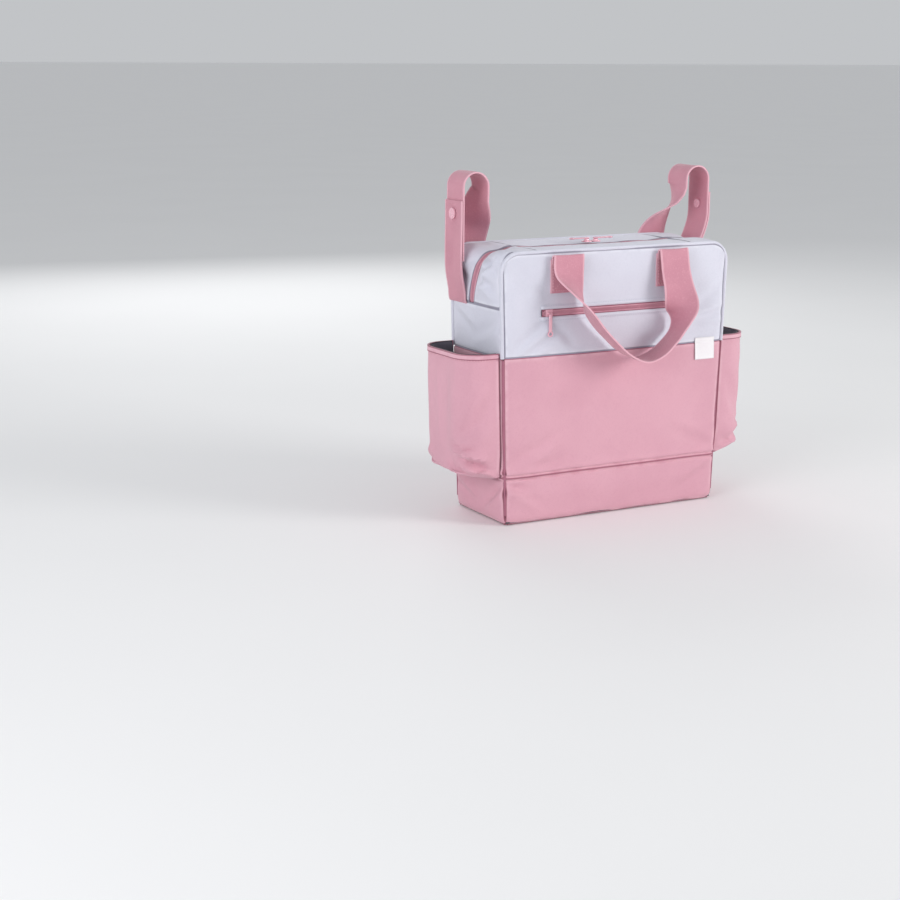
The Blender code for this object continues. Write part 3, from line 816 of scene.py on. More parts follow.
@dataclass(frozen=True)
class Stitching:
    """Rows of thread stitches, each a small spindle."""

    pitch: float = 0.0036
    length: float = 0.0026
    radius: float = 0.00042
    sides: int = 5

    def row(self, name: str, routes: Sequence[Sequence[Vector]]) -> bpy.types.Object:
        """Make one piece from all the stitches along some routes.

        Args:
            name: the piece's name.
            routes: lines of points on the cloth.

        Returns:
            The new piece.
        """
        points: list[Vector] = []
        faces: list[tuple[int, ...]] = []
        for route in routes:
            run = lengths(route)
            count = int(run[-1] / self.pitch)
            for i in range(count):
                middle = (i + 0.5) * run[-1] / count
                self.spindle(points, faces, self.at(route, run, middle - self.length / 2),
                             self.at(route, run, middle + self.length / 2))
        made = from_points(name, points, faces)
        made.data.shade_smooth()
        return made

    @staticmethod
    def at(route: Sequence[Vector], run: Sequence[float], distance: float) -> Vector:
        """Return the point of a route at a distance along it."""
        for k in range(len(run) - 1):
            if distance <= run[k + 1] or k == len(run) - 2:
                share = (distance - run[k]) / max(run[k + 1] - run[k], 1e-9)
                return route[k].lerp(route[k + 1], min(1.0, max(0.0, share)))
        return route[-1]

    def spindle(self, points: list[Vector], faces: list[tuple[int, ...]], start: Vector, end: Vector) -> None:
        """Add one stitch between two points."""
        way = (end - start).normalized()
        side = way.orthogonal().normalized()
        other = way.cross(side)
        base = len(points)
        points.append(start)
        for share in (0.28, 0.72):
            centre = start.lerp(end, share)
            for k in range(self.sides):
                turn = 2 * math.pi * k / self.sides
                points.append(centre + (side * math.cos(turn) + other * math.sin(turn)) * self.radius)
        points.append(end)
        last = len(points) - 1
        for k in range(self.sides):
            n = (k + 1) % self.sides
            a, b = base + 1 + k, base + 1 + n
            c, d = a + self.sides, b + self.sides
            faces += [(base, b, a), (a, b, d, c), (c, d, last)]


def stitch(
    name: str,
    routes: Sequence[Sequence[Vector]],
    finish: bpy.types.Material,
    slot: str,
) -> bpy.types.Object:
    """Make one piece from the stitches along some routes on the bag.

    Args:
        name: the piece's name.
        routes: lines of points on the cloth.
        finish: the thread's material.
        slot: the record's slot that it takes its finish from.

    Returns:
        The dressed piece.
    """
    return dress(Stitching().row(name, routes), finish, "bag", slot)


# --- Form of the shell


@dataclass(frozen=True)
class Crease:
    """A fold across a panel: a valley beside a ridge, fading out towards both ends."""

    start: tuple[float, float]
    end: tuple[float, float]
    depth: float
    width: float

    def lift(self, a: float, b: float) -> float:
        """Return how far the cloth stands out at a place on the panel."""
        ax, ay = self.start
        dx, dy = self.end[0] - ax, self.end[1] - ay
        length = math.hypot(dx, dy)
        along = ((a - ax) * dx + (b - ay) * dy) / length**2
        side = ((a - ax) * dy - (b - ay) * dx) / length
        fade = smooth(-0.15, 0.3, along) * (1 - smooth(0.6, 1.15, along))
        return self.depth * fade * (bell(side, self.width, self.width) - bell(side, -self.width * 0.4, self.width))


@dataclass(frozen=True)
class Form:
    """Sizes of the shell and the way its filled cloth stands out from the flat."""

    height: float = 0.360
    depth: float = 0.135
    base_width: float = 0.338
    top_width: float = 0.360
    corner: float = 0.028
    ground: float = 0.0006
    roll: float = 0.013
    base_seam: float = 0.064
    colour_seam: float = 0.223
    gusset_seam: float = 0.287
    margin: float = 0.0040
    zip_height: float = 0.279
    zip_half: float = 0.1165
    zip_end: float = 0.1240
    foam_gap: float = 0.0023
    slump_back: float = 0.0130
    slump_in: float = 0.0060
    slump_down: float = 0.0040

    front_creases = (
        Crease((-0.156, 0.232), (-0.100, 0.272), 0.0030, 0.0065),
        Crease((-0.140, 0.226), (-0.088, 0.250), 0.0020, 0.0055),
        Crease((-0.108, 0.268), (-0.070, 0.232), 0.0014, 0.0060),
        Crease((0.174, 0.268), (0.098, 0.250), 0.0028, 0.0065),
        Crease((0.172, 0.246), (0.108, 0.246), 0.0018, 0.0055),
        Crease((0.168, 0.302), (0.112, 0.270), 0.0020, 0.0075),
        Crease((0.090, 0.240), (0.030, 0.232), 0.0012, 0.0070),
        Crease((-0.168, 0.335), (-0.105, 0.298), 0.0014, 0.0090),
        Crease((-0.168, 0.074), (-0.084, 0.116), 0.0024, 0.0090),
        Crease((-0.150, 0.070), (-0.060, 0.082), 0.0016, 0.0060),
        Crease((0.168, 0.078), (0.092, 0.110), 0.0020, 0.0090),
        Crease((-0.120, 0.180), (-0.040, 0.205), 0.0012, 0.0140),
        Crease((0.130, 0.186), (0.060, 0.150), 0.0012, 0.0140),
        Crease((-0.166, 0.056), (-0.110, 0.020), 0.0026, 0.0065),
        Crease((-0.164, 0.050), (-0.124, 0.044), 0.0018, 0.0045),
        Crease((0.164, 0.054), (0.104, 0.026), 0.0018, 0.0065),
    )
    side_creases = (
        Crease((-0.060, 0.352), (-0.018, 0.300), 0.0032, 0.0055),
        Crease((-0.058, 0.318), (-0.010, 0.336), 0.0026, 0.0050),
        Crease((-0.054, 0.300), (-0.020, 0.312), 0.0018, 0.0040),
        Crease((0.058, 0.330), (0.012, 0.308), 0.0026, 0.0060),
        Crease((-0.058, 0.268), (0.012, 0.238), 0.0018, 0.0075),
        Crease((0.056, 0.276), (-0.004, 0.250), 0.0016, 0.0070),
        Crease((-0.062, 0.052), (-0.012, 0.014), 0.0032, 0.0060),
        Crease((0.062, 0.040), (0.008, 0.022), 0.0028, 0.0065),
    )

    def half(self, z: float) -> float:
        """Return half of the width at height z."""
        return (self.base_width + (self.top_width - self.base_width) * z / self.height) / 2

    def seams(self, z: float) -> float:
        """Return how far the cross seams pull the cloth in, or their folded lips push it out."""
        tuck = -0.0024 * bell(z, self.base_seam + 0.0030, 0.0014) - 0.0022 * bell(z, self.base_seam - 0.0032, 0.0014)
        lip = 0.0016 * bell(z, self.base_seam + 0.0075, 0.0040)
        return tuck + lip - 0.0011 * bell(z, self.colour_seam + 0.0012, 0.0016)

    def foot(self, z: float) -> float:
        """Return how far the cloth turns in at its rolled bottom edge."""
        if z >= self.roll:
            return 0.0
        return -(self.roll - math.sqrt(max(0.0, self.roll**2 - (self.roll - z) ** 2))) * 0.62

    def broad_out(self, x: float, z: float, face: Face) -> float:
        """Return how far the front or back stands out at a place."""
        half = self.half(z) - self.margin
        s = min(1.0, abs(x) / half)
        rim = half * (1 - s)
        upper = 0.0038 * (1 - s**2.6) * math.sin(math.pi * smooth(self.base_seam - 0.02, self.height + 0.03, z))
        band = 0.0030 * (1 - s**4) * bell(z, 0.040, 0.020)
        out = upper + band + self.seams(z) + self.foot(z) - 0.0026 * math.exp(-rim / 0.0045)
        out -= 0.0020 * math.exp(-(self.height - z) / 0.004)
        waves = 0.0016 * rough(x, 7.0 * face.value, z, 15) + 0.0006 * rough(x, 3.0 * face.value, z, 38)
        if face is Face.FRONT:
            near_zip = 1 - smooth(0.006, 0.016, abs(z - self.zip_height))
            calm = 1 - 0.9 * near_zip * (1 - smooth(self.zip_half, self.zip_half + 0.010, abs(x)))
            out += calm * (waves + sum(crease.lift(x, z) for crease in self.front_creases))
            out += self.mouth(x, z)
        else:
            out += waves
            out += 0.5 * sum(crease.lift(-x * 0.93, z - 0.006) for crease in self.front_creases)
            if z > self.base_seam - 0.0015:
                out = max(out, -self.foam_gap)
        return out

    def mouth(self, x: float, z: float) -> float:
        """Return the shape of the front zip's mouth: two folded lips with the tape sunk between them."""
        inside = 1 - smooth(self.zip_half - 0.0005, self.zip_half + 0.0035, abs(x))
        off = abs(z - self.zip_height)
        lip = 0.0014 * bell(off, 0.0072, 0.0024)
        sink = -0.0034 * (1 - smooth(0.0040, 0.0052, off))
        return inside * (lip + sink)

    def broad(self, x: float, z: float, face: Face, lift: float = 0.0) -> Vector:
        """Return a place on the front or back, lift metres off its surface."""
        return Vector((x, face.value * (self.depth / 2 + self.broad_out(x, z, face) + lift), z))

    def side_out(self, y: float, z: float, side: Side) -> float:
        """Return how far a gusset stands out at a place."""
        half = self.depth / 2 - self.margin
        s = min(1.0, abs(y) / half)
        rim = half * (1 - s)
        belly = 0.0020 * (1 - s**2.4) * math.sin(math.pi * smooth(0.0, self.gusset_seam + 0.02, z))
        out = belly + self.seams(z) + self.foot(z) - 0.0024 * math.exp(-rim / 0.0045)
        out -= 0.0010 * bell(z, self.gusset_seam, 0.0016)
        out += 0.0009 * rough(5.0 * side.value, y, z, 19)
        flip = 1.0 if side is Side.LEFT else -0.85
        return out + sum(crease.lift(y * flip, z) for crease in self.side_creases)

    def gusset(self, y: float, z: float, side: Side, lift: float = 0.0) -> Vector:
        """Return a place on a gusset, lift metres off its surface."""
        return Vector((side.value * (self.half(z) + self.side_out(y, z, side) + lift), y, z))

    def slump(self, made: bpy.types.Object) -> None:
        """Lean the left top corner's unfilled cloth back and let it sink.

        Args:
            made: the piece, changed in place where it lies in that corner.
        """
        for vertex in made.data.vertices:
            x, y, z = vertex.co
            if x > -self.zip_end:
                continue
            across = max(0.0, 1 - (y / (self.depth / 2 - self.margin)) ** 2)
            below = smooth(0.0, 1.0, (self.height - 0.006 - z) / 0.034)
            off = smooth(0.0, 1.0, (-self.zip_end - x) / 0.020)
            vertex.co.y += self.slump_back * below * across
            vertex.co.x += self.slump_in * across * across * bell(z, 0.332, 0.020)
            vertex.co.z -= self.slump_down * across * across * off * smooth(0.330, 0.352, z)

    def arch(self, side: Side, inset: float, end: float) -> list[Vector]:
        """Return the line up a gusset's top and round the corner, inset metres inside the shell."""
        outer = self.half(self.height - self.corner) - inset
        top = self.height - inset
        radius = self.corner - inset
        start = Vector((self.half(self.gusset_seam) - inset, 0, self.gusset_seam))
        rise = [start.lerp(Vector((outer, 0, top - radius)), i / 12) for i in range(12)]
        bend = [Vector((x, 0, z)) for x, z in arc((outer - radius, top - radius), radius, 0, 90, 14)]
        flat = [bend[-1].lerp(Vector((end, 0, top)), i / 9) for i in range(1, 10)]
        return [Vector((side.value * p.x, 0, p.z)) for p in (*rise, *bend, *flat)]


FORM = Form()
CLOTH_WALL = 0.0020
LINING_WALL = 0.0007


class Panels:
    """Front, back, gussets, base and the strips round the top corners, cut and filled."""

    def __init__(self, wardrobe: Wardrobe) -> None:
        """Keep the finishes."""
        self.wardrobe = wardrobe

    def sewn(self, made: bpy.types.Object, cut: tuple[float, float], zone: Zone, node: str) -> bpy.types.Object:
        """Dress a cloth of the shell and say its flat size.

        Args:
            made: the cloth.
            cut: its flat width and length.
            zone: which cloth it is cut from.
            node: the CAD node that it stands for.

        Returns:
            The same piece.
        """
        finish = self.wardrobe.pink if zone is Zone.PINK else self.wardrobe.grey
        dress(made, finish, "bag", zone.value, [node])
        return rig.sheet(made, flat=cut, held="stretched", rests_on=["base_board"])

    def broad(self, name: str, face: Face, low: float, high: float, zone: Zone, node: str) -> bpy.types.Object:
        """Make one cloth of the front or back between two heights.

        Args:
            name: the piece's name.
            face: front or back.
            low: height of its lower seam.
            high: height of its upper seam.
            zone: which cloth it is cut from.
            node: the CAD node that it stands for.

        Returns:
            The new piece.
        """
        whole = high >= FORM.height - 0.01
        dense = [(FORM.base_seam, 0.010), (FORM.colour_seam, 0.004)]
        if whole and face is Face.FRONT:
            dense.append((FORM.zip_height, 0.010))
        top_edge = FORM.height - 0.0030
        rows = spread(low, top_edge if whole else high, 0.0034, dense)
        columns = spread(-1.0, 1.0, 0.0034 / 0.175, [(-1.0, 0.05), (1.0, 0.05), (-0.664, 0.02), (0.664, 0.02)])
        centre = FORM.half(FORM.height - FORM.corner) - FORM.corner
        radius = FORM.corner - 0.0030

        def place(u: float, z: float) -> Vector:
            x = u * (FORM.half(z) - FORM.margin)
            if whole:
                over = abs(x) - centre
                cap = top_edge
                if over > 0:
                    cap += math.sqrt(max(0.0, radius**2 - min(over, radius) ** 2)) - radius
                start = 0.310
                if z > start and cap < top_edge:
                    z = start + (z - start) * (cap - start) / (top_edge - start)
            return FORM.broad(face.value * -x, z, face)

        cut = (2 * FORM.half(high), high - low)
        made = thicken(grid(name, columns, rows, place, cut), CLOTH_WALL)
        return self.sewn(made, cut, zone, node)

    def wall(self, name: str, side: Side, low: float, high: float, zone: Zone, node: str) -> bpy.types.Object:
        """Make one cloth of a gusset between two heights.

        Args:
            name: the piece's name.
            side: left or right.
            low: height of its lower seam.
            high: height of its upper seam.
            zone: which cloth it is cut from.
            node: the CAD node that it stands for.

        Returns:
            The new piece.
        """
        reach = FORM.depth / 2 - FORM.margin
        rows = spread(low, high, 0.0036, [(FORM.base_seam, 0.010), (FORM.colour_seam, 0.004)])
        columns = spread(-reach, reach, 0.0036)
        cut = (2 * reach, high - low)
        made = grid(name, columns, rows, lambda u, z: FORM.gusset(side.value * u, z, side), cut)
        return self.sewn(thicken(made, CLOTH_WALL), cut, zone, node)

    def base(self) -> bpy.types.Object:
        """Make the bag's underside, bowed up a little between its edges."""
        half_x, half_y = FORM.base_width / 2 - 0.0052, FORM.depth / 2 - 0.0052

        def place(u: float, v: float) -> Vector:
            edge = min(half_x - abs(u), half_y - abs(v))
            rise = 0.0006 + 0.0008 * math.exp(-max(edge, 0) / 0.004) + 0.0003 * (1 + rough(u, v, 2.0, 25))
            return Vector((-u, v, rise - 0.0006 * (1 - smooth(0.0, 0.01, edge))))

        cut = (2 * half_x, 2 * half_y)
        made = grid("base_panel_cloth", spread(-half_x, half_x, 0.006), spread(-half_y, half_y, 0.006), place, cut)
        return self.sewn(thicken(made, CLOTH_WALL), cut, Zone.PINK, "base_panel")

    def corner_strip(self, side: Side, face: Face) -> bpy.types.Object:
        """Make the grey strip beside the main zip, up the gusset and round the top corner."""
        path = FORM.arch(side, 0.0, 0.1213)
        ways = travel(path)
        near, far = 0.0058, FORM.depth / 2 - FORM.margin
        run = lengths(path)

        def place(u: float, v: float) -> Vector:
            k = int(round(v))
            y = face.value * u
            outward = Vector((ways[k].z, 0, -ways[k].x)) * side.value
            share = run[k] / run[-1]
            rim = far - u
            dent = -0.0042 * math.exp(-(u - near) / 0.012) * math.sin(math.pi * min(1.0, 0.12 + share * 0.95))
            puff = 0.0024 * math.sin(math.pi * (u - near) / (far - near)) * math.sin(math.pi * share)
            lift = dent + puff - 0.0022 * math.exp(-rim / 0.0045)
            flip = 1.0 if side is Side.LEFT else -0.85
            depth = 1.9 if side is Side.LEFT else 1.0
            lift += depth * sum(c.lift(y * flip, 0.287 + run[k] * 0.72) for c in FORM.side_creases)
            lift += 0.0008 * rough(path[k].x, y, path[k].z, 24)
            lift *= smooth(0.0, 0.05, 1 - share) * 0.7 + 0.3
            return Vector((path[k].x, y, path[k].z)) + outward * lift

        cut = (far - near, run[-1])
        name = f"{side.word}_arch_{face.word}"
        made = grid(f"{name}_cloth", spread(near, far, 0.0034), stations(path), place, cut)
        self.outward(made)
        thicken(made, CLOTH_WALL)
        FORM.slump(made)
        return self.sewn(made, cut, Zone.GREY, name)

    @staticmethod
    def outward(made: bpy.types.Object) -> None:
        """Turn an open sheet's faces away from the middle of the bag."""
        mesh = made.data
        centre = Vector((0, 0, 0.18))
        total = sum((face.center - centre).dot(face.normal) * face.area for face in mesh.polygons)
        if total < 0:
            mesh.flip_normals()

    def build(self) -> list[bpy.types.Object]:
        """Make every panel.

        Returns:
            The pieces.
        """
        foot, base, seam, gusset, top = FORM.ground, FORM.base_seam, FORM.colour_seam, FORM.gusset_seam, FORM.height
        made = [
            self.broad("front_panel_pink", Face.FRONT, base, seam, Zone.PINK, "front_panel_lower"),
            self.broad("front_panel_grey", Face.FRONT, seam, top, Zone.GREY, "front_panel_upper"),
            self.broad("back_panel_pink", Face.BACK, base, seam, Zone.PINK, "back_panel"),
            self.broad("back_panel_grey", Face.BACK, seam, top, Zone.GREY, "back_panel"),
            self.broad("front_base_cloth", Face.FRONT, foot, base, Zone.PINK, "front_base_band"),
            self.broad("back_base_cloth", Face.BACK, foot, base, Zone.PINK, "back_base_band"),
            self.base(),
        ]
        for side in Side:
            word = side.word
            made += [
                self.wall(f"{word}_base_cloth", side, foot, base, Zone.PINK, f"{word}_base_band"),
                self.wall(f"{word}_gusset_pink", side, base, seam, Zone.PINK, f"{word}_gusset_lower"),
                self.wall(f"{word}_gusset_grey", side, seam, gusset, Zone.GREY, f"{word}_gusset_upper"),
                self.corner_strip(side, Face.FRONT),
                self.corner_strip(side, Face.BACK),
            ]
        return made


# --- Welts


@dataclass(frozen=True)
class Welts:
    """The corded edges of the front and back."""

    wardrobe: Wardrobe
    radius: float = 0.0026

    def line(self, face: Face, inset: float, start: float, stop: float) -> list[Vector]:
        """Return a line up one side, over the top and down the other, between two heights.

        Args:
            face: front or back.
            inset: distance inside the shell's outline.
            start: height where it starts and ends.
            stop: height that keeps only the sides below it, or the full height for the whole line.

        Returns:
            The points, from the left foot.
        """
        y = face.value * (FORM.depth / 2 - self.radius - 0.0001)
        outer = FORM.half(FORM.height - FORM.corner) - inset
        radius = FORM.corner - inset
        top = FORM.height - inset
        heights = [start + (top - radius - start) * i / 40 for i in range(41)]
        rise = [Vector((FORM.half(z) - inset, y, z)) for z in heights]
        bend = [Vector((x, y, z)) for x, z in arc((outer - radius, top - radius), radius, 0, 90, 12)]
        right = [p for p in (*rise, *bend[1:]) if p.z <= stop + 1e-9]
        if stop < top:
            return right
        flat = [Vector((bend[-1].x * (1 - i / 20), y, top)) for i in range(1, 20)]
        left = [Vector((-p.x, p.y, p.z)) for p in reversed(right)]
        across = [Vector((-p.x, p.y, p.z)) for p in reversed(flat)]
        whole = [*right, *flat, Vector((0, y, top)), *across, *left]
        return whole[::-1]

    def build(self) -> list[bpy.types.Object]:
        """Make the welts of both faces.

        Returns:
            The pieces.
        """
        made = []
        for face in Face:
            inset = self.radius - 0.0006
            grey = tube(f"{face.word}_welt_grey", self.line(face, inset, FORM.colour_seam, FORM.height), self.radius,
                        12, Vector((0, 1, 0)))
            dress(grey, self.wardrobe.grey, "bag", Zone.GREY.value, [f"{face.word}_piping"])
            made.append(grey)
            for side in Side:
                path = self.line(face, inset + 0.0016, 0.014, FORM.colour_seam)
                path = [p for p in path if p.z <= FORM.colour_seam - 0.0006]
                path = [Vector((side.value * p.x, p.y - face.value * 0.0009, p.z)) for p in path]
                # The pink welt sits sunk in the corner seam, and its darker finish paints that groove's shadow.
                pink = tube(f"{face.word}_welt_pink_{side.word}", path, self.radius * 0.62, 12, Vector((0, 1, 0)))
                dress(pink, self.wardrobe.cord_pink, "bag", Zone.PINK.value, [f"{face.word}_piping"])
                made.append(pink)
        return made


# --- Top and zips


@dataclass(frozen=True)
class Coil:
    """The two rows of moulded loops along a closed zip."""

    pitch: float = 0.0016
    reach: float = 0.0021
    loop: float = 0.00055

    def row(
        self,
        name: str,
        path: Sequence[Vector],
        wide: Sequence[Vector],
        up: Sequence[Vector],
    ) -> bpy.types.Object:
        """Make the loops along a path.

        Args:
            name: the piece's name.
            path: the zip's middle line.
            wide: direction across the zip at each point.
            up: direction off the tape at each point.

        Returns:
            The new piece.
        """
        run = lengths(path)
        count = int(run[-1] / self.pitch)
        points: list[Vector] = []
        faces: list[tuple[int, ...]] = []
        for i in range(count):
            distance = (i + 0.5) * run[-1] / count
            k = max(j for j in range(len(run) - 1) if run[j] <= distance)
            share = (distance - run[k]) / max(run[k + 1] - run[k], 1e-9)
            centre = path[k].lerp(path[k + 1], share)
            across, off = wide[k].lerp(wide[k + 1], share), up[k].lerp(up[k + 1], share)
            way = (path[k + 1] - path[k]).normalized()
            base = len(points)
            for sway in (-1.0, -0.5, 0.5, 1.0):
                rise = self.loop * (0.35 if abs(sway) == 1.0 else 1.5)
                middle = centre + across * (self.reach * sway) + off * rise
                for a, b in ((-1, 0), (0, 1), (1, 0), (0, -0.6)):
                    points.append(middle + way * (a * self.loop) + off * (b * self.loop * 0.8))
            for step in range(3):
                p = base + step * 4
                for n in range(4):
                    m = (n + 1) % 4
                    faces.append((p + n, p + m, p + 4 + m, p + 4 + n))
            faces.append((base + 3, base + 2, base + 1, base))
            faces.append((base + 12, base + 13, base + 14, base + 15))
        made = from_points(name, points, faces)
        face_out(made)
        return soften(made, 60)


@dataclass(frozen=True)
class TopOpening:
    """The two flaps of the top, the main zip over them and the zip's parts down the gussets."""

    wardrobe: Wardrobe
    half_length: float = 0.1210
    tape: float = 0.0052
    tape_wall: float = 0.0008
    bend_start: float = 0.0640
    bend_end: float = 0.0560

    def sag(self, x: float, y: float, face: Face) -> float:
        """Return the height of a flap's cloth at a place."""
        reach = FORM.depth / 2 - FORM.margin
        share = (reach - abs(y)) / (reach - self.tape)
        crown = 0.0016 * math.sin(math.pi * min(1.0, share * 1.15))
        dip = -0.0022 * smooth(0.45, 1.0, share) - 0.0014 * math.exp(-(reach - abs(y)) / 0.004)
        wave = 0.0012 * rough(x, y * 0.6, 4.0 * face.value, 22) + 0.0009 * rough(x * 1.3, 0.0, 9.0 * face.value, 30)
        calm = smooth(0.0, 0.03, self.half_length - abs(x)) * 0.8 + 0.2
        return FORM.height + (crown + dip) * calm + wave * calm - 0.0004

    def flap(self, face: Face) -> bpy.types.Object:
        """Make one flap, which bends at its hinge."""
        reach = FORM.depth / 2 - FORM.margin
        ys = spread(self.tape + 0.0004, reach, 0.0030)
        xs = spread(-self.half_length, self.half_length, 0.0040)
        body = f"top_{face.word}"

        def place(u: float, v: float) -> Vector:
            return Vector((u, face.value * v, self.sag(u, v, face)))

        cut = (2 * self.half_length, reach - self.tape)
        made = grid(f"{body}_cloth", xs, ys, place, cut)
        Panels.outward(made)
        thicken(made, CLOTH_WALL)
        start, end = ((0, face.value * y, FORM.height) for y in (self.bend_start, self.bend_end))
        dress(made, self.wardrobe.grey, body, Zone.GREY.value, [f"{body}_flap"], (start, end))
        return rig.sheet(made, flat=cut, held="stretched", rests_on=["main_lining"])

    def tape_half(self, face: Face) -> bpy.types.Object:
        """Make one half of the main zip's tape, on its flap."""
        low, high = 0.0003, self.tape + 0.0014

        def place(u: float, v: float) -> Vector:
            lift = self.sag(u, max(v, self.tape), face) - 0.0012
            return Vector((u, face.value * v, lift))

        xs = spread(-self.half_length, self.half_length, 0.004)
        cut = (2 * self.half_length, high - low)
        made = grid(f"top_{face.word}_tape", xs, spread(low, high, 0.0016), place, cut)
        Panels.outward(made)
        thicken(made, self.tape_wall)
        return dress(made, self.wardrobe.tape, f"top_{face.word}", "zip_tape", [f"top_{face.word}_zip"])

    def teeth(self, face: Face) -> bpy.types.Object:
        """Make one half of the main zip's coil, on its flap."""
        count = 60
        path = []
        for i in range(count + 1):
            x = -self.half_length + 2 * self.half_length * i / count
            path.append(Vector((x, face.value * 0.0013, self.sag(x, self.tape, face) - 0.0012)))
        wide = [Vector((0, 1, 0))] * len(path)
        up = [Vector((0, 0, 1))] * len(path)
        made = Coil(reach=0.0011).row(f"top_{face.word}_coil", path, wide, up)
        return dress(made, self.wardrobe.coil, f"top_{face.word}", "zip_tape")

    def side_zip(self, side: Side) -> list[bpy.types.Object]:
        """Make the zip's part round one top corner and down the gusset."""
        path = FORM.arch(side, 0.0026, 0.1216)
        ways = travel(path)
        outward = [Vector((w.z, 0, -w.x)) * side.value for w in ways]
        run = lengths(path)
        sink = [-0.0016 * math.sin(math.pi * min(1.0, 0.12 + 0.95 * r / run[-1])) for r in run]
        path = [p + o * s for p, o, s in zip(path, outward, sink)]
        wide = [Vector((0, 1, 0))] * len(path)
        tape = ribbon(f"{side.word}_side_tape", path, wide, 2 * self.tape + 0.004, self.tape_wall)
        FORM.slump(tape)
        dress(tape, self.wardrobe.tape, "bag", "zip_tape", [f"{side.word}_side_zip"])
        line = [p + o * 0.0004 for p, o in zip(path, outward)]
        coil = Coil().row(f"{side.word}_side_coil", line, wide, outward)
        FORM.slump(coil)
        dress(coil, self.wardrobe.coil, "bag", "zip_tape")
        return [tape, coil]

    def build(self) -> list[bpy.types.Object]:
        """Make the flaps and the main zip.

        Returns:
            The pieces.
        """
        made = []
        for face in Face:
            made += [self.flap(face), self.tape_half(face), self.teeth(face)]
        for side in Side:
            made += self.side_zip(side)
        return made


@dataclass(frozen=True)
class Slider:
    """A zip's slider and its pull, each in the box that the CAD gives."""

    wardrobe: Wardrobe
    rounding: float = 0.0013

    def body_piece(self, node: str, body: str, thin: int) -> bpy.types.Object:
        """Make a slider: a waisted body with a raised bridge.

        Args:
            node: the CAD node that it stands for.
            body: the body that it rides on.
            thin: axis of its height: 1 for the front zip, 2 for the top.

        Returns:
            The new piece.
        """
        lo, hi, centre = corners(node)
        base_hi, base_lo = hi.copy(), lo.copy()
        outer = 1 if thin == 2 else -1
        third = (hi[thin] - lo[thin]) * 0.45
        if outer > 0:
            base_hi[thin] = lo[thin] + third
        else:
            base_lo[thin] = hi[thin] - third
        plate = block(f"{node}_plate", base_lo, base_hi, 0.0009, 3)
        flat = 1 if thin == 2 else 2
        for vertex in plate.data.vertices:
            share = (vertex.co.x - lo.x) / (hi.x - lo.x)
            waist = 1 - 0.20 * bell(share, 0.5, 0.3)
            vertex.co[flat] = centre[flat] + (vertex.co[flat] - centre[flat]) * waist
        bridge_lo, bridge_hi = lo.copy(), hi.copy()
        bridge_lo[flat], bridge_hi[flat] = centre[flat] - 0.0014, centre[flat] + 0.0014
        bridge_lo.x, bridge_hi.x = lo.x + 0.0016, hi.x - 0.0016
        bridge = block(f"{node}_bridge", bridge_lo, bridge_hi, self.rounding, 4)
        made = join(f"{node}_body", [plate, bridge])
        return dress(made, self.wardrobe.enamel, body, "zip_metal", [node])

    def pull_piece(self, node: str, body: str, long: int, thin: int, tip: int) -> bpy.types.Object:
        """Make a pull: a neck, a stem and a ring at its free end.

        Args:
            node: the CAD node that it stands for.
            body: the body that it rides on.
            long: axis of its length.
            thin: axis of its thickness.
            tip: which end is free: -1 or 1 along the long axis.

        Returns:
            The new piece.
        """
        lo, hi, centre = corners(node)
        wide = 3 - long - thin
        ring = 0.0040
        end = hi[long] if tip > 0 else lo[long]
        middle = centre.copy()
        middle[long] = end - tip * ring
        deselect()
        bpy.ops.mesh.primitive_torus_add(
            location=middle,
            rotation=(math.radians(90), 0, 0) if thin == 1 else (0, 0, 0),
            major_segments=36,
            minor_segments=10,
            major_radius=ring - 0.0009,
            minor_radius=0.0010,
        )
        loop = bpy.context.active_object
        settle(loop)
        stem_lo, stem_hi = lo.copy(), hi.copy()
        near, far = (lo[long], middle[long] - ring + 0.0012) if tip > 0 else (middle[long] + ring - 0.0012, hi[long])
        stem_lo[long], stem_hi[long] = near, far
        stem_lo[wide], stem_hi[wide] = centre[wide] - 0.0024, centre[wide] + 0.0024
        stem = block(f"{node}_stem", stem_lo, stem_hi, 0.0006, 3)
        for vertex in stem.data.vertices:
            share = (vertex.co[long] - near) / (far - near)
            narrow = 1 - 0.38 * bell(share, 0.5, 0.28)
            vertex.co[wide] = centre[wide] + (vertex.co[wide] - centre[wide]) * narrow
        made = join(f"{node}_tag", [stem, loop])
        soften(made, 35)
        return dress(made, self.wardrobe.enamel, body, "zip_metal", [node])

    def build(self) -> list[bpy.types.Object]:
        """Make the three sliders and their pulls.

        Returns:
            The pieces.
        """
        made = [
            self.body_piece("front_slider", "front_slider", 1),
            self.pull_piece("front_pull", "front_pull", 2, 1, -1),
        ]
        for side in Side:
            word = side.word
            made.append(self.body_piece(f"main_slider_{word}", f"main_slider_{word}", 2))
            made.append(self.pull_piece(f"main_pull_{word}", f"main_pull_{word}", 0, 2, side.value))
        return made


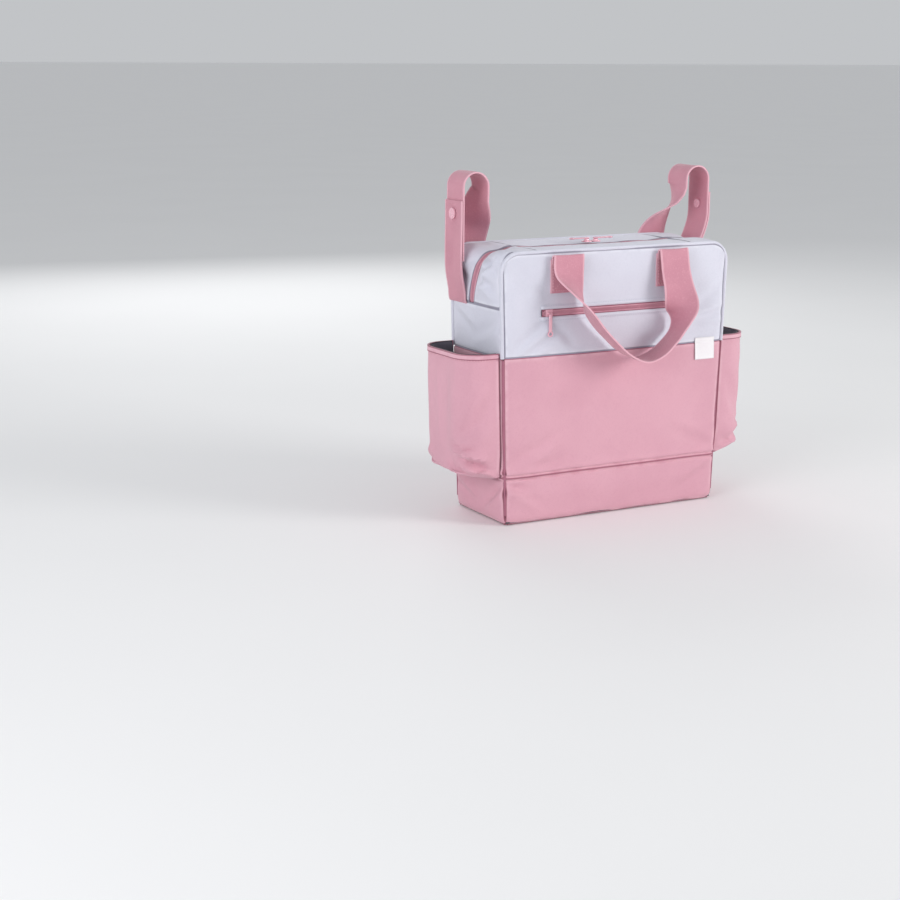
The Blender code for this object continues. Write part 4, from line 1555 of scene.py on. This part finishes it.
@dataclass(frozen=True)
class FrontPocket:
    """The front pocket's zip tape, sunk between the lips of its mouth, and its coil."""

    wardrobe: Wardrobe
    half_band: float = 0.0047
    thread_lift: float = 0.0001

    def build(self) -> list[bpy.types.Object]:
        """Make the zip and the stitches round its mouth.

        Returns:
            The pieces.
        """
        half = FORM.zip_half + 0.0010

        def depth(x: float) -> float:
            return FORM.broad_out(x, FORM.zip_height + 0.0085, Face.FRONT) - 0.0022

        def place(u: float, v: float) -> Vector:
            return Vector((u, -(FORM.depth / 2 + depth(u) + 0.0012), v))

        rows = spread(FORM.zip_height - self.half_band, FORM.zip_height + self.half_band, 0.0015)
        tape = grid("front_zip_cloth", spread(-half, half, 0.004), rows, place, (2 * half, 2 * self.half_band))
        thicken(tape, 0.0008)
        dress(tape, self.wardrobe.tape, "bag", "zip_tape", ["front_zip_tape"])
        path = [Vector((-half + 2 * half * i / 80, 0, FORM.zip_height)) for i in range(81)]
        path = [Vector((p.x, -(FORM.depth / 2 + depth(p.x) + 0.0013), p.z)) for p in path]
        wide = [Vector((0, 0, 1))] * len(path)
        up = [Vector((0, -1, 0))] * len(path)
        coil = Coil().row("front_zip_coil", path, wide, up)
        dress(coil, self.wardrobe.coil, "bag", "zip_tape")
        routes = []
        for off in (-0.0098, 0.0098):
            run = [-half - 0.003 + (2 * half + 0.006) * i / 60 for i in range(61)]
            routes.append([FORM.broad(x, FORM.zip_height + off, Face.FRONT, self.thread_lift) for x in run])
        for end in (-1, 1):
            rise = [FORM.zip_height - 0.0095 + 0.019 * i / 6 for i in range(7)]
            routes.append([FORM.broad(end * (half + 0.0035), z, Face.FRONT, self.thread_lift) for z in rise])
        return [tape, coil, stitch("front_zip_stitches", routes, self.wardrobe.grey_thread, Zone.GREY.value)]


# --- Side pockets


@dataclass(frozen=True)
class SidePocket:
    """A pouch sewn to a gusset: elastic hem at its mouth, slack cloth that settles towards its foot."""

    wardrobe: Wardrobe
    side: Side
    reach: float = 0.0500
    half_depth: float = 0.0618
    corner: float = 0.0330
    rim: float = 0.2298
    hem: float = 0.0070
    calm: int = 4
    cap: float = 0.004
    cut: float = 0.185
    lining_foot: float = 0.090
    creases = (
        Crease((0.012, 0.076), (0.052, 0.094), 0.0060, 0.0042),
        Crease((0.014, 0.088), (0.060, 0.106), -0.0040, 0.0040),
        Crease((0.034, 0.104), (0.076, 0.112), 0.0042, 0.0042),
        Crease((0.046, 0.078), (0.084, 0.090), 0.0034, 0.0045),
        Crease((0.150, 0.076), (0.120, 0.094), 0.0036, 0.0060),
        Crease((0.012, 0.140), (0.064, 0.118), 0.0020, 0.0100),
        Crease((0.018, 0.200), (0.060, 0.160), 0.0012, 0.0120),
    )

    @property
    def foot(self) -> float:
        """Height of the pouch's lower seam."""
        return FORM.base_seam + 0.0012

    def plan(self, u: float) -> tuple[float, float]:
        """Return (reach from the gusset, y) at a share u of the way round from front to back."""
        straight = self.reach - self.corner
        quarter = math.pi / 2 * self.corner
        flat = 2 * (self.half_depth - self.corner)
        total = 2 * (straight + quarter) + flat
        run = u * total
        half, radius = self.half_depth, self.corner
        if run < straight:
            return run, -half
        run -= straight
        if run < quarter:
            turn = run / radius
            return straight + radius * math.sin(turn), -half + radius * (1 - math.cos(turn))
        run -= quarter
        if run < flat:
            return self.reach, -half + radius + run
        run -= flat
        if run < quarter:
            turn = run / radius
            return straight + radius * math.cos(turn), half - radius + radius * math.sin(turn)
        run -= quarter
        return straight - run, half

    def place(self, u: float, z: float) -> Vector:
        """Return a place on the pocket's cloth before it settles."""
        out, y = self.plan(u)
        side = self.side.value
        low = self.foot
        t = (z - low) / (self.rim - low)
        tuck = 1 - (1 - min(1.0, t / 0.075)) ** 2.2
        scale = 0.12 + 0.88 * tuck
        full = min(1.0, out / 0.016)
        pinch = 1 - 0.04 * (1 - min(1.0, t / 0.20))
        lift = 0.0010 * rough(u * 0.16, z, 1.7 * side, 20)
        deep = 1.0 if self.side is Side.LEFT else 0.45
        lift += deep * sum(crease.lift(u * self.cut, z) for crease in self.creases)
        lift += 0.0010 * math.sin(u * 30 + side) * bell(t, 0.09, 0.05)
        lift *= 0.10 + 0.90 * full
        before, after = self.plan(max(0.0, u - 0.004)), self.plan(min(1.0, u + 0.004))
        step = math.hypot(after[0] - before[0], after[1] - before[1])
        limit = max(0.0, out * scale + lift * (after[1] - before[1]) / step)
        sewn = FORM.half(z) + 0.0010
        sag = -0.0035 * (out / self.reach) * bell(t, 0.06, 0.16)
        return Vector((side * (sewn + limit), y * pinch - lift * (after[0] - before[0]) / step, z + sag))

    def cloth(self) -> bpy.types.Object:
        """Make the pouch and let its slack cloth settle."""
        low = self.foot
        width = 2 * (self.reach - self.corner) + math.pi * self.corner + 2 * (self.half_depth - self.corner)
        us = [i / 56 for i in range(57)]
        zs = spread(low, self.rim, 0.0036, [(low + 0.012, 0.012)])
        cut = (width, self.rim - low + 0.02)
        made = grid(f"{self.side.word}_pocket_cloth", us, zs, self.place, cut)
        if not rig.quick():
            self.drop(made, us, zs)
        if self.side is Side.LEFT:
            made.data.flip_normals()
        thicken(made, 0.0018)
        dress(made, self.wardrobe.pink, "bag", Zone.PINK.value, [f"{self.side.word}_pocket"])
        return made

    def drop(self, made: bpy.types.Object, us: Sequence[float], zs: Sequence[float]) -> None:
        """Let the pouch hang from its mouth and its sewn edges, under its own weight.

        Args:
            made: the pouch, as an open sheet.
            us: its columns.
            zs: its rows.
        """
        mesh = made.data
        start = np.zeros(len(mesh.vertices) * 3)
        mesh.vertices.foreach_get("co", start)
        start = start.reshape(-1, 3)
        held = made.vertex_groups.new(name="sewn")
        top, low = self.rim, FORM.base_seam
        for vertex in mesh.vertices:
            inside = (abs(vertex.co.x) - FORM.half(vertex.co.z) - 0.001) / self.reach
            rim = smooth(top - 0.030, top - 0.004, vertex.co.z)
            foot = 1 - smooth(low + 0.004, low + 0.016, vertex.co.z)
            seam = 1 - smooth(0.10, 0.35, inside)
            held.add([vertex.index], max(rim, foot, seam), "REPLACE")
        pick(made)
        cloth = made.modifiers.new("settle", "CLOTH")
        settings = {
            "quality": 8, "mass": 0.25, "tension_stiffness": 18, "compression_stiffness": 18, "shear_stiffness": 8,
            "bending_stiffness": 6.0, "vertex_group_mass": "sewn", "pin_stiffness": 1.0, "shrink_min": -0.035,
            "use_pressure": True, "uniform_pressure_force": 0.8,
        }
        for key, value in settings.items():
            setattr(cloth.settings, key, value)
        cloth.collision_settings.use_collision = False
        cloth.settings.effector_weights.gravity = 0.35
        scene = bpy.context.scene
        for step in range(1, 23):
            scene.frame_set(step)
        bpy.ops.object.modifier_apply(modifier=cloth.name)
        scene.frame_set(1)
        now = np.zeros(len(mesh.vertices) * 3)
        made.data.vertices.foreach_get("co", now)
        shift = now.reshape(-1, 3) - start
        shift = shift.reshape(len(zs), len(us), 3)
        for _ in range(self.calm):
            inner = shift[1:-1, 1:-1]
            around = shift[:-2, 1:-1] + shift[2:, 1:-1] + shift[1:-1, :-2] + shift[1:-1, 2:]
            shift[1:-1, 1:-1] = (inner + around) / 5
        shift = shift.reshape(-1, 3)
        size = np.linalg.norm(shift, axis=1, keepdims=True)
        shift *= np.minimum(1.0, self.cap / np.maximum(size, 1e-9))
        made.data.vertices.foreach_set("co", (start + shift).ravel())
        made.data.update()
        made.vertex_groups.clear()

    def hem_piece(self) -> bpy.types.Object:
        """Make the doubled hem round the mouth."""
        path = [self.place(i / 72, self.rim - self.hem / 2) for i in range(73)]
        across = [Vector((0, 0, 1))] * len(path)
        band = ribbon(f"{self.side.word}_pocket_hem_band", path, across, self.hem, 0.0024)
        return dress(band, self.wardrobe.pink, "bag", Zone.PINK.value, [f"{self.side.word}_pocket_hem"])

    def lining_piece(self) -> bpy.types.Object:
        """Make the dark lining inside the pouch."""
        side = self.side.value

        def place(u: float, z: float) -> Vector:
            out, y = self.plan(0.01 + 0.98 * u)
            t = (z - self.lining_foot) / (self.rim - self.lining_foot)
            foot = FORM.half(z) + 0.0036
            gap = 0.0044 + 0.0066 * smooth(0.0, 0.16, 1 - t)
            inner = max(0.0, out - gap) * (0.98 - 0.10 * (1 - t))
            return Vector((side * (foot + inner), y * (0.958 - 0.09 * smooth(0.0, 0.16, 1 - t)), z))

        us = [i / 40 for i in range(41)]
        zs = spread(self.lining_foot, self.rim + 0.0002, 0.009)
        made = grid(f"{self.side.word}_pocket_lining", us, zs, place, (0.17, self.rim - self.lining_foot))
        if self.side is Side.LEFT:
            made.data.flip_normals()
        thicken(made, 0.0006)
        return dress(made, self.wardrobe.lining, "bag", "lining")

    def build(self) -> list[bpy.types.Object]:
        """Make the pocket.

        Returns:
            The pieces.
        """
        pouch = self.cloth()
        hem = self.hem_piece()
        lining = self.lining_piece()
        off = Vector((self.side.value * 0.0010, 0, 0))
        route = [self.place(i / 90, self.rim - self.hem - 0.0006) + off for i in range(8, 83)]
        row = stitch(f"{self.side.word}_pocket_stitches", [route], self.wardrobe.thread, Zone.PINK.value)
        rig.sheet(pouch, flat=(self.cut, self.cut), held="gathered", rests_on=[f"{self.side.word}_gusset_pink"],
                 with_pieces=[hem, row])
        return [pouch, hem, lining, row]


# --- Webbing


WEBBING = 0.045
WEBBING_WALL = 0.0020


@dataclass(frozen=True)
class SewnPatch:
    """Webbing sewn flat on the front or back, with its lines of stitches."""

    wardrobe: Wardrobe
    face: Face
    x: float
    low: float
    high: float
    wall: float
    lift: float
    thread_lift: float
    top_gap: float
    foot_gap: float
    half: float = WEBBING / 2 + 0.0008
    side_gap: float = 0.0032
    step: float = 0.0030

    def place(self, u: float, v: float) -> Vector:
        """Return a place on the patch, pressed down at its rim."""
        rim = min(self.half - abs(u), v - self.low, self.high - v)
        dip = 0.0005 * math.exp(-max(rim, 0) / 0.0012)
        return FORM.broad(self.x - self.face.value * u, v, self.face, self.lift - dip)

    def line(self, start: tuple[float, float], end: tuple[float, float]) -> list[Vector]:
        """Return a line of stitches from one (x, z) to another."""
        (ax, az), (bx, bz) = start, end
        return [FORM.broad(ax + (bx - ax) * i / 12, az + (bz - az) * i / 12, self.face, self.thread_lift)
                for i in range(13)]

    def build(self, name: str, thread: str, node: str, seams: Sequence[tuple[int, int]]) -> list[bpy.types.Object]:
        """Make the patch and its stitches.

        Args:
            name: the patch's name.
            thread: the name of its stitches.
            node: the CAD node that the patch stands for.
            seams: the corners that each line joins, counted down the left side and up the right.

        Returns:
            The pieces.
        """
        columns, rows = spread(-self.half, self.half, self.step), spread(self.low, self.high, self.step)
        made = grid(name, columns, rows, self.place, (2 * self.half, self.high - self.low))
        thicken(made, self.wall)
        dress(made, self.wardrobe.webbing, "bag", "webbing", [node])
        inner = self.half - self.side_gap
        top, foot = self.high - self.top_gap, self.low + self.foot_gap
        places = [(self.x - inner, top), (self.x - inner, foot), (self.x + inner, foot), (self.x + inner, top)]
        lines = [self.line(places[a], places[b]) for a, b in seams]
        return [made, stitch(thread, lines, self.wardrobe.thread, "webbing")]


@dataclass(frozen=True)
class Handle:
    """A carrying handle that hangs from two sewn patches."""

    wardrobe: Wardrobe
    face: Face
    half: float = 0.0825
    top: float = 0.3490
    out: float = 0.0322
    patch_top: float = 0.3480
    patch_bottom: float = 0.3042
    bend_start: float = 0.0015
    bend_end: float = 0.0095

    def route(self) -> list[tuple[float, float, float, float]]:
        """Return points of the webbing's middle: x, distance out, z and its turn in degrees."""
        h, top, out = self.half, self.top, self.out
        return [
            (-h, 0.0050, top, 0),
            (-h, 0.0110, top - 0.019, 4),
            (-h + 0.006, 0.0225, top - 0.044, 45),
            (-h + 0.017, out, top - 0.067, 74),
            (-h + 0.032, out, top - 0.087, 80),
            (-h + 0.051, out, top - 0.106, 80),
            (-h + 0.074, out, top - 0.125, 80),
            (0.018, out, top - 0.1360, 80),
            (h - 0.040, out, top - 0.130, 80),
            (h - 0.020, out, top - 0.115, 78),
            (h - 0.007, out, top - 0.100, 80),
            (h - 0.001, out, top - 0.084, 98),
            (h, 0.0305, top - 0.067, 144),
            (h, 0.0245, top - 0.048, 172),
            (h, 0.0150, top - 0.024, 179),
            (h, 0.0050, top, 180),
        ]

    def fold(self, x: float, degrees: float) -> list[tuple[float, float, float, float]]:
        """Return the webbing's turn over the patch's top, from the panel outwards."""
        return [
            (x, 0.0034, self.top - 0.0075, degrees),
            (x, 0.0034, self.top - 0.0010, degrees),
            (x, 0.0044, self.top + 0.0026, degrees),
            (x, 0.0068, self.top + 0.0038, degrees),
            (x, 0.0092, self.top + 0.0020, degrees),
        ]

    def strap(self) -> bpy.types.Object:
        """Make the hanging webbing with its turned-over ends."""
        face = self.face.value
        y0 = face * FORM.depth / 2
        route = self.route()
        points = self.fold(-self.half, 0) + route[1:-1] + self.fold(self.half, 180)[::-1]
        path, across = [], []
        for x, out, z, degrees in catmull(points, 6):
            turn = math.radians(degrees)
            path.append(Vector((x, y0 + face * out, z)))
            across.append(Vector((math.cos(turn), -face * math.sin(turn), 0)))
        made = ribbon(f"{self.face.word}_handle_webbing", path, across, WEBBING, WEBBING_WALL * 0.9, 0.0006)
        return dress(made, self.wardrobe.webbing, f"{self.face.word}_handle", "webbing",
                     [f"{self.face.word}_handle"],
                     ((0, 0, self.top - self.bend_start), (0, 0, self.top - self.bend_end)))

    def patch(self, side: Side) -> list[bpy.types.Object]:
        """Make one sewn patch with its crossed box of stitches."""
        patch = SewnPatch(self.wardrobe, self.face, side.value * self.half, self.patch_bottom, self.patch_top,
                          wall=0.0018, lift=0.0019, thread_lift=0.0021, top_gap=0.006, foot_gap=0.0032)
        word = self.face.word
        return patch.build(f"{word}_patch_{side.word}", f"{word}_patch_stitches_{side.word}",
                           f"{word}_handle_patch_{side.word}", [(0, 1), (1, 2), (2, 3), (0, 2), (1, 3)])

    def build(self) -> list[bpy.types.Object]:
        """Make the handle and its patches.

        Returns:
            The pieces.
        """
        made = [self.strap()]
        for side in Side:
            made += self.patch(side)
        return made


@dataclass(frozen=True)
class BarStrap:
    """A strap for a pushchair's bar: an outer tab snapped on a loop from the back."""

    wardrobe: Wardrobe
    side: Side
    y: float = 0.045
    tab_x: float = 0.1857
    tab_top: float = 0.418
    tail_x: float = 0.183
    tail_bottom: float = 0.340
    bar_height: float = 0.436
    radius: float = 0.0185
    anchor_x: float = 0.146
    right_lean: float = 0.026
    anchor_y: float = 0.0675 + 0.0003 + 0.001 + 0.0027
    anchor_top: float = 0.335
    anchor_bottom: float = 0.300
    bend_start: float = 0.2905
    bend_end: float = 0.3010
    lean_span: tuple[float, float] = (0.306, 0.390)
    rise_span: tuple[float, float] = (0.345, 0.412)

    def lean(self, z: float, low: float, high: float) -> float:
        """Return how far out the strap leans at height z: the right one follows the bar outwards."""
        return self.right_lean * smooth(low, high, z) if self.side is Side.RIGHT else 0.0

    def tab(self) -> bpy.types.Object:
        """Make the outer tab, sewn into the gusset's seam."""
        side = self.side.value
        foot = FORM.half(FORM.gusset_seam) + 0.0015
        points = [
            (foot - 0.0010, 0.2845),
            (foot + 0.0006, 0.2900),
            (foot + 0.0014, 0.3000),
            (self.tab_x - 0.0016, 0.3180),
            (self.tab_x, 0.3330),
            (self.tab_x + 0.0004, 0.3560),
            (self.tab_x, 0.3900),
            (self.tab_x, self.tab_top),
        ]
        path = [Vector((side * (x + self.lean(z, *self.lean_span)), self.y, z)) for x, z in catmull(points, 6)]
        across = [Vector((0, 1, 0))] * len(path)
        made = ribbon(f"{self.side.word}_tab_webbing", path, across, WEBBING, WEBBING_WALL * 0.9, 0.0003)
        return dress(made, self.wardrobe.webbing, f"{self.side.word}_bar_tab", "webbing",
                     [f"{self.side.word}_bar_tab"], ((0, 0, self.bend_start), (0, 0, self.bend_end)))

    def loop(self) -> bpy.types.Object:
        """Make the loop that rises from the back, goes over the bar and comes down behind the tab."""
        side = self.side.value
        height = FORM.height
        loop_x = self.tail_x - 2 * self.radius
        rise = [
            (self.anchor_x, self.anchor_y, self.anchor_top - 0.0010, 0),
            (self.anchor_x, self.anchor_y, height - 0.004, 0),
            (self.anchor_x, self.anchor_y - 0.005, height + 0.021, 25),
            (self.anchor_x, self.anchor_y - 0.016, height + 0.045, 62),
            (loop_x, self.y, height + 0.067, 90),
        ]
        bend = arc((loop_x + self.radius, self.bar_height), self.radius, 180, 0, 18)
        points = catmull(rise, 8)
        spans = [self.rise_span] * len(points)
        points += [Vector((x, self.y, z, 90)) for x, z in bend]
        points += [Vector((self.tail_x, self.y, 0.424 - 0.007 * i, 90)) for i in range(12)]
        points += [Vector((self.tail_x, self.y, self.tail_bottom, 90))]
        spans += [self.lean_span] * (len(points) - len(spans))
        path = [Vector((side * (p[0] + self.lean(p[2], *span)), p[1], p[2])) for p, span in zip(points, spans)]
        across = [Vector((side * math.cos(math.radians(p[3])), math.sin(math.radians(p[3])), 0)) for p in points]
        made = ribbon(f"{self.side.word}_loop_webbing", path, across, WEBBING, WEBBING_WALL * 0.9, 0.0004)
        return dress(made, self.wardrobe.webbing, f"{self.side.word}_bar_loop", "webbing",
                     [f"{self.side.word}_bar_loop"])

    def anchor(self) -> list[bpy.types.Object]:
        """Make the sewn patch on the back that holds the loop."""
        patch = SewnPatch(self.wardrobe, Face.BACK, self.side.value * self.anchor_x, self.anchor_bottom,
                          self.anchor_top - 0.0015, wall=0.0016, lift=0.0017, thread_lift=0.0019,
                          top_gap=0.0030, foot_gap=0.0030)
        word = self.side.word
        return patch.build(f"{word}_anchor_patch", f"{word}_anchor_stitches", f"{word}_bar_anchor",
                           [(0, 1), (1, 2), (2, 3), (3, 0)])

    def snap(self, node: str, body: str) -> bpy.types.Object:
        """Make half of the snap: a round cap with a rolled rim and a shallow dish."""
        lo, hi, centre = corners(node)
        deselect()
        bpy.ops.mesh.primitive_cylinder_add(
            vertices=48,
            radius=(hi.z - lo.z) / 2,
            depth=hi.x - lo.x,
            location=centre,
            rotation=(0, math.radians(90), 0),
        )
        made = bpy.context.active_object
        made.name = made.data.name = f"{node}_disc"
        settle(made)
        outward = self.side.value * (1 if "cap" in node else -1)
        face_x = hi.x if outward > 0 else lo.x
        pick(made)
        bpy.ops.object.mode_set(mode="EDIT")
        bpy.ops.mesh.select_all(action="DESELECT")
        bpy.ops.object.mode_set(mode="OBJECT")
        for polygon in made.data.polygons:
            polygon.select = abs(polygon.center.x - face_x) < 1e-5 and abs(polygon.normal.x) > 0.9
        bpy.ops.object.mode_set(mode="EDIT")
        bpy.ops.mesh.select_mode(type="FACE")
        bpy.ops.mesh.inset(thickness=0.0016, depth=0.0)
        bpy.ops.mesh.inset(thickness=0.0006, depth=-0.0005)
        bpy.ops.mesh.inset(thickness=0.0012, depth=0.0003)
        bpy.ops.object.mode_set(mode="OBJECT")
        apply_modifier(made, "BEVEL", width=0.0004, segments=3, limit_method="ANGLE")
        soften(made, 50)
        return dress(made, self.wardrobe.snap, body, "snap", [node])

    def build(self) -> list[bpy.types.Object]:
        """Make the strap.

        Returns:
            The pieces.
        """
        word = self.side.word
        made = [self.tab(), self.loop(), *self.anchor()]
        made.append(self.snap(f"{word}_snap_cap", f"{word}_bar_tab"))
        made.append(self.snap(f"{word}_snap_socket", f"{word}_bar_loop"))
        return made


# --- Label and inside


@dataclass(frozen=True)
class Label:
    """The small blank label sewn over the colour seam."""

    wardrobe: Wardrobe
    left: float = 0.127
    right: float = 0.159
    low: float = 0.200
    high: float = 0.230
    wall: float = 0.0006
    step: float = 0.0020

    def build(self) -> list[bpy.types.Object]:
        """Make the label.

        Returns:
            The pieces.
        """

        def place(u: float, v: float) -> Vector:
            rim = min(u - self.left, self.right - u, v - self.low, self.high - v)
            curl = 0.0006 * math.exp(-max(rim, 0) / 0.002) * (1 if v < (self.low + self.high) / 2 else 0.3)
            ridge = Vector((0, -0.0002 * bell(v, FORM.colour_seam, 0.003), 0))
            return FORM.broad(u, v, Face.FRONT, 0.0011 + curl) + ridge

        cut = (self.right - self.left, self.high - self.low)
        columns, rows = spread(self.left, self.right, self.step), spread(self.low, self.high, self.step)
        made = thicken(grid("label_cloth", columns, rows, place, cut), self.wall)
        dress(made, self.wardrobe.label, "bag", "label", ["label"])
        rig.sheet(made, flat=cut, held="laid", rests_on=["front_panel_grey"])
        return [made]


class Inside:
    """The lining, board, foam and pocket bag, which keep their CAD shapes."""

    def __init__(self, wardrobe: Wardrobe) -> None:
        """Keep the finishes."""
        self.wardrobe = wardrobe
        self.finishes = {
            "front_pocket_bag": wardrobe.lining,
            "base_board": wardrobe.board,
            "back_foam": wardrobe.foam,
        }

    def lining(self) -> list[bpy.types.Object]:
        """Make the loose lining: a wall that goes all the way round and a floor.

        Returns:
            The pieces.
        """
        front, back, top, low = 0.0556, 0.0588, 0.3500, 0.0075
        radius = 0.014
        middle = (back - front) / 2
        deep = (back + front) / 2

        def plan(u: float, z: float) -> tuple[float, float]:
            over = max(0.0, z - (FORM.height - FORM.corner))
            cut = FORM.corner - math.sqrt(max(0.0, FORM.corner**2 - over**2))
            wide = FORM.half(z) - 0.0078 - cut
            sides = (wide - radius, deep - radius)
            straight = (2 * sides[0], 2 * sides[1])
            quarter = math.pi / 2 * radius
            run = u * 2 * (straight[0] + straight[1] + 2 * quarter)
            x, y, turn = -sides[0], -deep, 0
            for length in (straight[0], straight[1], straight[0], straight[1]):
                way = (math.cos(turn * math.pi / 2), math.sin(turn * math.pi / 2))
                if run <= length:
                    return x + way[0] * run, y + way[1] * run
                x, y, run = x + way[0] * length, y + way[1] * length, run - length
                aside = (-way[1], way[0])
                if run <= quarter:
                    bend = run / radius
                    return (x + way[0] * radius * math.sin(bend) + aside[0] * radius * (1 - math.cos(bend)),
                            y + way[1] * radius * math.sin(bend) + aside[1] * radius * (1 - math.cos(bend)))
                x, y = x + (way[0] + aside[0]) * radius, y + (way[1] + aside[1]) * radius
                run, turn = run - quarter, turn + 1
            return x, y

        def place(u: float, z: float) -> Vector:
            x, y = plan(u % 1.0, z)
            folds = 0.006 * (1 + math.sin(u * 88 + z * 30)) * bell(z, 0.05, 0.12)
            slack = 1 - 0.010 * (1 + rough(x, y, z, 26)) - folds
            return Vector((x * slack, middle + y * slack, z))

        wall_cut = (2 * (2 * (0.172 + deep) - 4 * radius) + 2 * math.pi * radius, top - low)
        wall = grid("main_lining_wall", [i / 150 for i in range(151)], spread(low, top, 0.008), place, wall_cut)
        weld(wall)
        thicken(wall, LINING_WALL)
        FORM.slump(wall)
        half_x, half_y = FORM.half(0.01) - 0.0092, deep - 0.0012
        floor_cut = (2 * half_x, 2 * half_y)
        floor = grid(
            "main_lining_floor",
            spread(-half_x, half_x, 0.010),
            spread(-half_y, half_y, 0.010),
            lambda u, v: Vector((u, middle + v, low + 0.0016 + 0.0010 * rough(u, v, 5.0, 20))),
            floor_cut,
        )
        thicken(floor, LINING_WALL)
        for piece, cut, held in ((wall, wall_cut, "hung"), (floor, floor_cut, "laid")):
            dress(piece, self.wardrobe.lining, "bag", "lining", ["main_lining"])
            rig.sheet(piece, flat=cut, held=held, rests_on=["base_board"])
        return [wall, floor]

    def build(self) -> list[bpy.types.Object]:
        """Make the lining and give each hidden piece its finish.

        Returns:
            The pieces.
        """
        made = self.lining()
        for name, finish in self.finishes.items():
            node = frame["nodes"][name]
            for slot in node.material_slots:
                slot.link = "OBJECT"
                slot.material = finish
            made.append(node)
        return made


# --- Studio


@dataclass(frozen=True)
class Studio:
    """Pale floor, soft lights and the camera."""

    azimuth: float = -33.2
    elevation: float = 9.9
    distance: float = 2.4
    focal: float = 1750.0
    pan: float = -4.45
    tilt: float = -2.83
    roll: float = 1.12
    aim: float = 0.19
    sensor: float = 36.0
    frame_width: float = 900.0
    sight: float = 300.0
    floor_size: float = 240.0

    def camera(self) -> None:
        """Place the camera."""
        a, e = math.radians(self.azimuth), math.radians(self.elevation)
        back = Vector((math.sin(a) * math.cos(e), -math.cos(a) * math.cos(e), math.sin(e)))
        forward = -back
        right = forward.cross(Vector((0, 0, 1))).normalized()
        up = right.cross(forward)
        p, t, r = (math.radians(v) for v in (self.pan, self.tilt, self.roll))
        ahead = forward * math.cos(p) + right * math.sin(p)
        right = right * math.cos(p) - forward * math.sin(p)
        look = ahead * math.cos(t) + up * math.sin(t)
        up = up * math.cos(t) - ahead * math.sin(t)
        right, up = right * math.cos(r) + up * math.sin(r), up * math.cos(r) - right * math.sin(r)
        data = bpy.data.cameras.new("studio_camera")
        data.sensor_width = self.sensor
        data.lens = self.focal * self.sensor / self.frame_width
        data.clip_end = self.sight
        made = bpy.data.objects.new("studio_camera", data)
        bpy.context.scene.collection.objects.link(made)
        turn = Matrix((right, up, -look)).transposed().to_4x4()
        made.matrix_world = Matrix.Translation(Vector((0, 0, self.aim)) + back * self.distance) @ turn
        bpy.context.scene.camera = made

    def lamp(self, name: str, place: Sequence[float], size: float, power: float, tint: Sequence[float]) -> None:
        """Add a square soft light that points at the bag."""
        data = bpy.data.lights.new(name, "AREA")
        data.size, data.energy, data.color = size, power, tint
        made = bpy.data.objects.new(name, data)
        bpy.context.scene.collection.objects.link(made)
        where = Vector(place)
        made.matrix_world = Matrix.Translation(where) @ (Vector((0, 0, 0.2)) - where).to_track_quat(
            "-Z", "Y").to_matrix().to_4x4()

    def floor(self) -> None:
        """Lay the floor."""
        deselect()
        bpy.ops.mesh.primitive_plane_add(size=self.floor_size, location=(0, 0, -0.0004))
        made = bpy.context.active_object
        made.name = "studio_floor"
        bench = Bench("floor_paper")
        tone = bench.mix(bench.ramp(bench.noise(2.0), 0.3, 0.7), (0.88, 0.88, 0.88), (0.87, 0.87, 0.87))
        bench.link(tone, bench.shader.inputs["Base Color"])
        bench.fixed(Roughness=0.9)
        made.data.materials.append(bench.material)
        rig.stage(made)

    def build(self) -> None:
        """Set up the studio."""
        world = bpy.data.worlds.new("studio_world")
        world.use_nodes = True
        shade = world.node_tree.nodes["Background"]
        shade.inputs["Color"].default_value = (0.90, 0.92, 0.95, 1.0)
        shade.inputs["Strength"].default_value = 0.60
        bpy.context.scene.world = world
        self.lamp("key_light", (2.0, -2.2, 1.05), 1.2, 50.0, (1.0, 0.98, 0.96))
        self.lamp("fill_light", (-2.5, -1.0, 0.85), 1.6, 31.0, (0.98, 0.98, 1.0))
        self.lamp("back_light", (0.4, 2.4, 1.4), 1.6, 16.0, (1.0, 1.0, 1.0))
        self.floor()
        self.camera()
        bpy.context.scene.view_settings.view_transform = "Standard"


def main() -> None:
    """Build the bag's sub-assemblies in order and report every piece."""
    logging.basicConfig(level=logging.INFO, format="%(message)s")
    Studio().build()
    wardrobe = Wardrobe()
    assemblies = [
        Panels(wardrobe),
        Welts(wardrobe),
        TopOpening(wardrobe),
        Slider(wardrobe),
        FrontPocket(wardrobe),
        SidePocket(wardrobe, Side.LEFT),
        SidePocket(wardrobe, Side.RIGHT),
        Handle(wardrobe, Face.FRONT),
        Handle(wardrobe, Face.BACK),
        BarStrap(wardrobe, Side.LEFT),
        BarStrap(wardrobe, Side.RIGHT),
        Label(wardrobe),
        Inside(wardrobe),
    ]
    for assembly in assemblies:
        for piece in assembly.build():
            LOG.info("%s: %s, %d faces", type(assembly).__name__, piece.name, len(piece.data.polygons))
    deselect()
    sizes = {"cad": [list(corner) for corner in CAD_BOX], "visual": [list(corner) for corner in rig.bounds()]}
    with open("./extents.json", "w", encoding="utf-8") as out:
        json.dump(sizes, out)


if __name__ == "__main__":
    main()
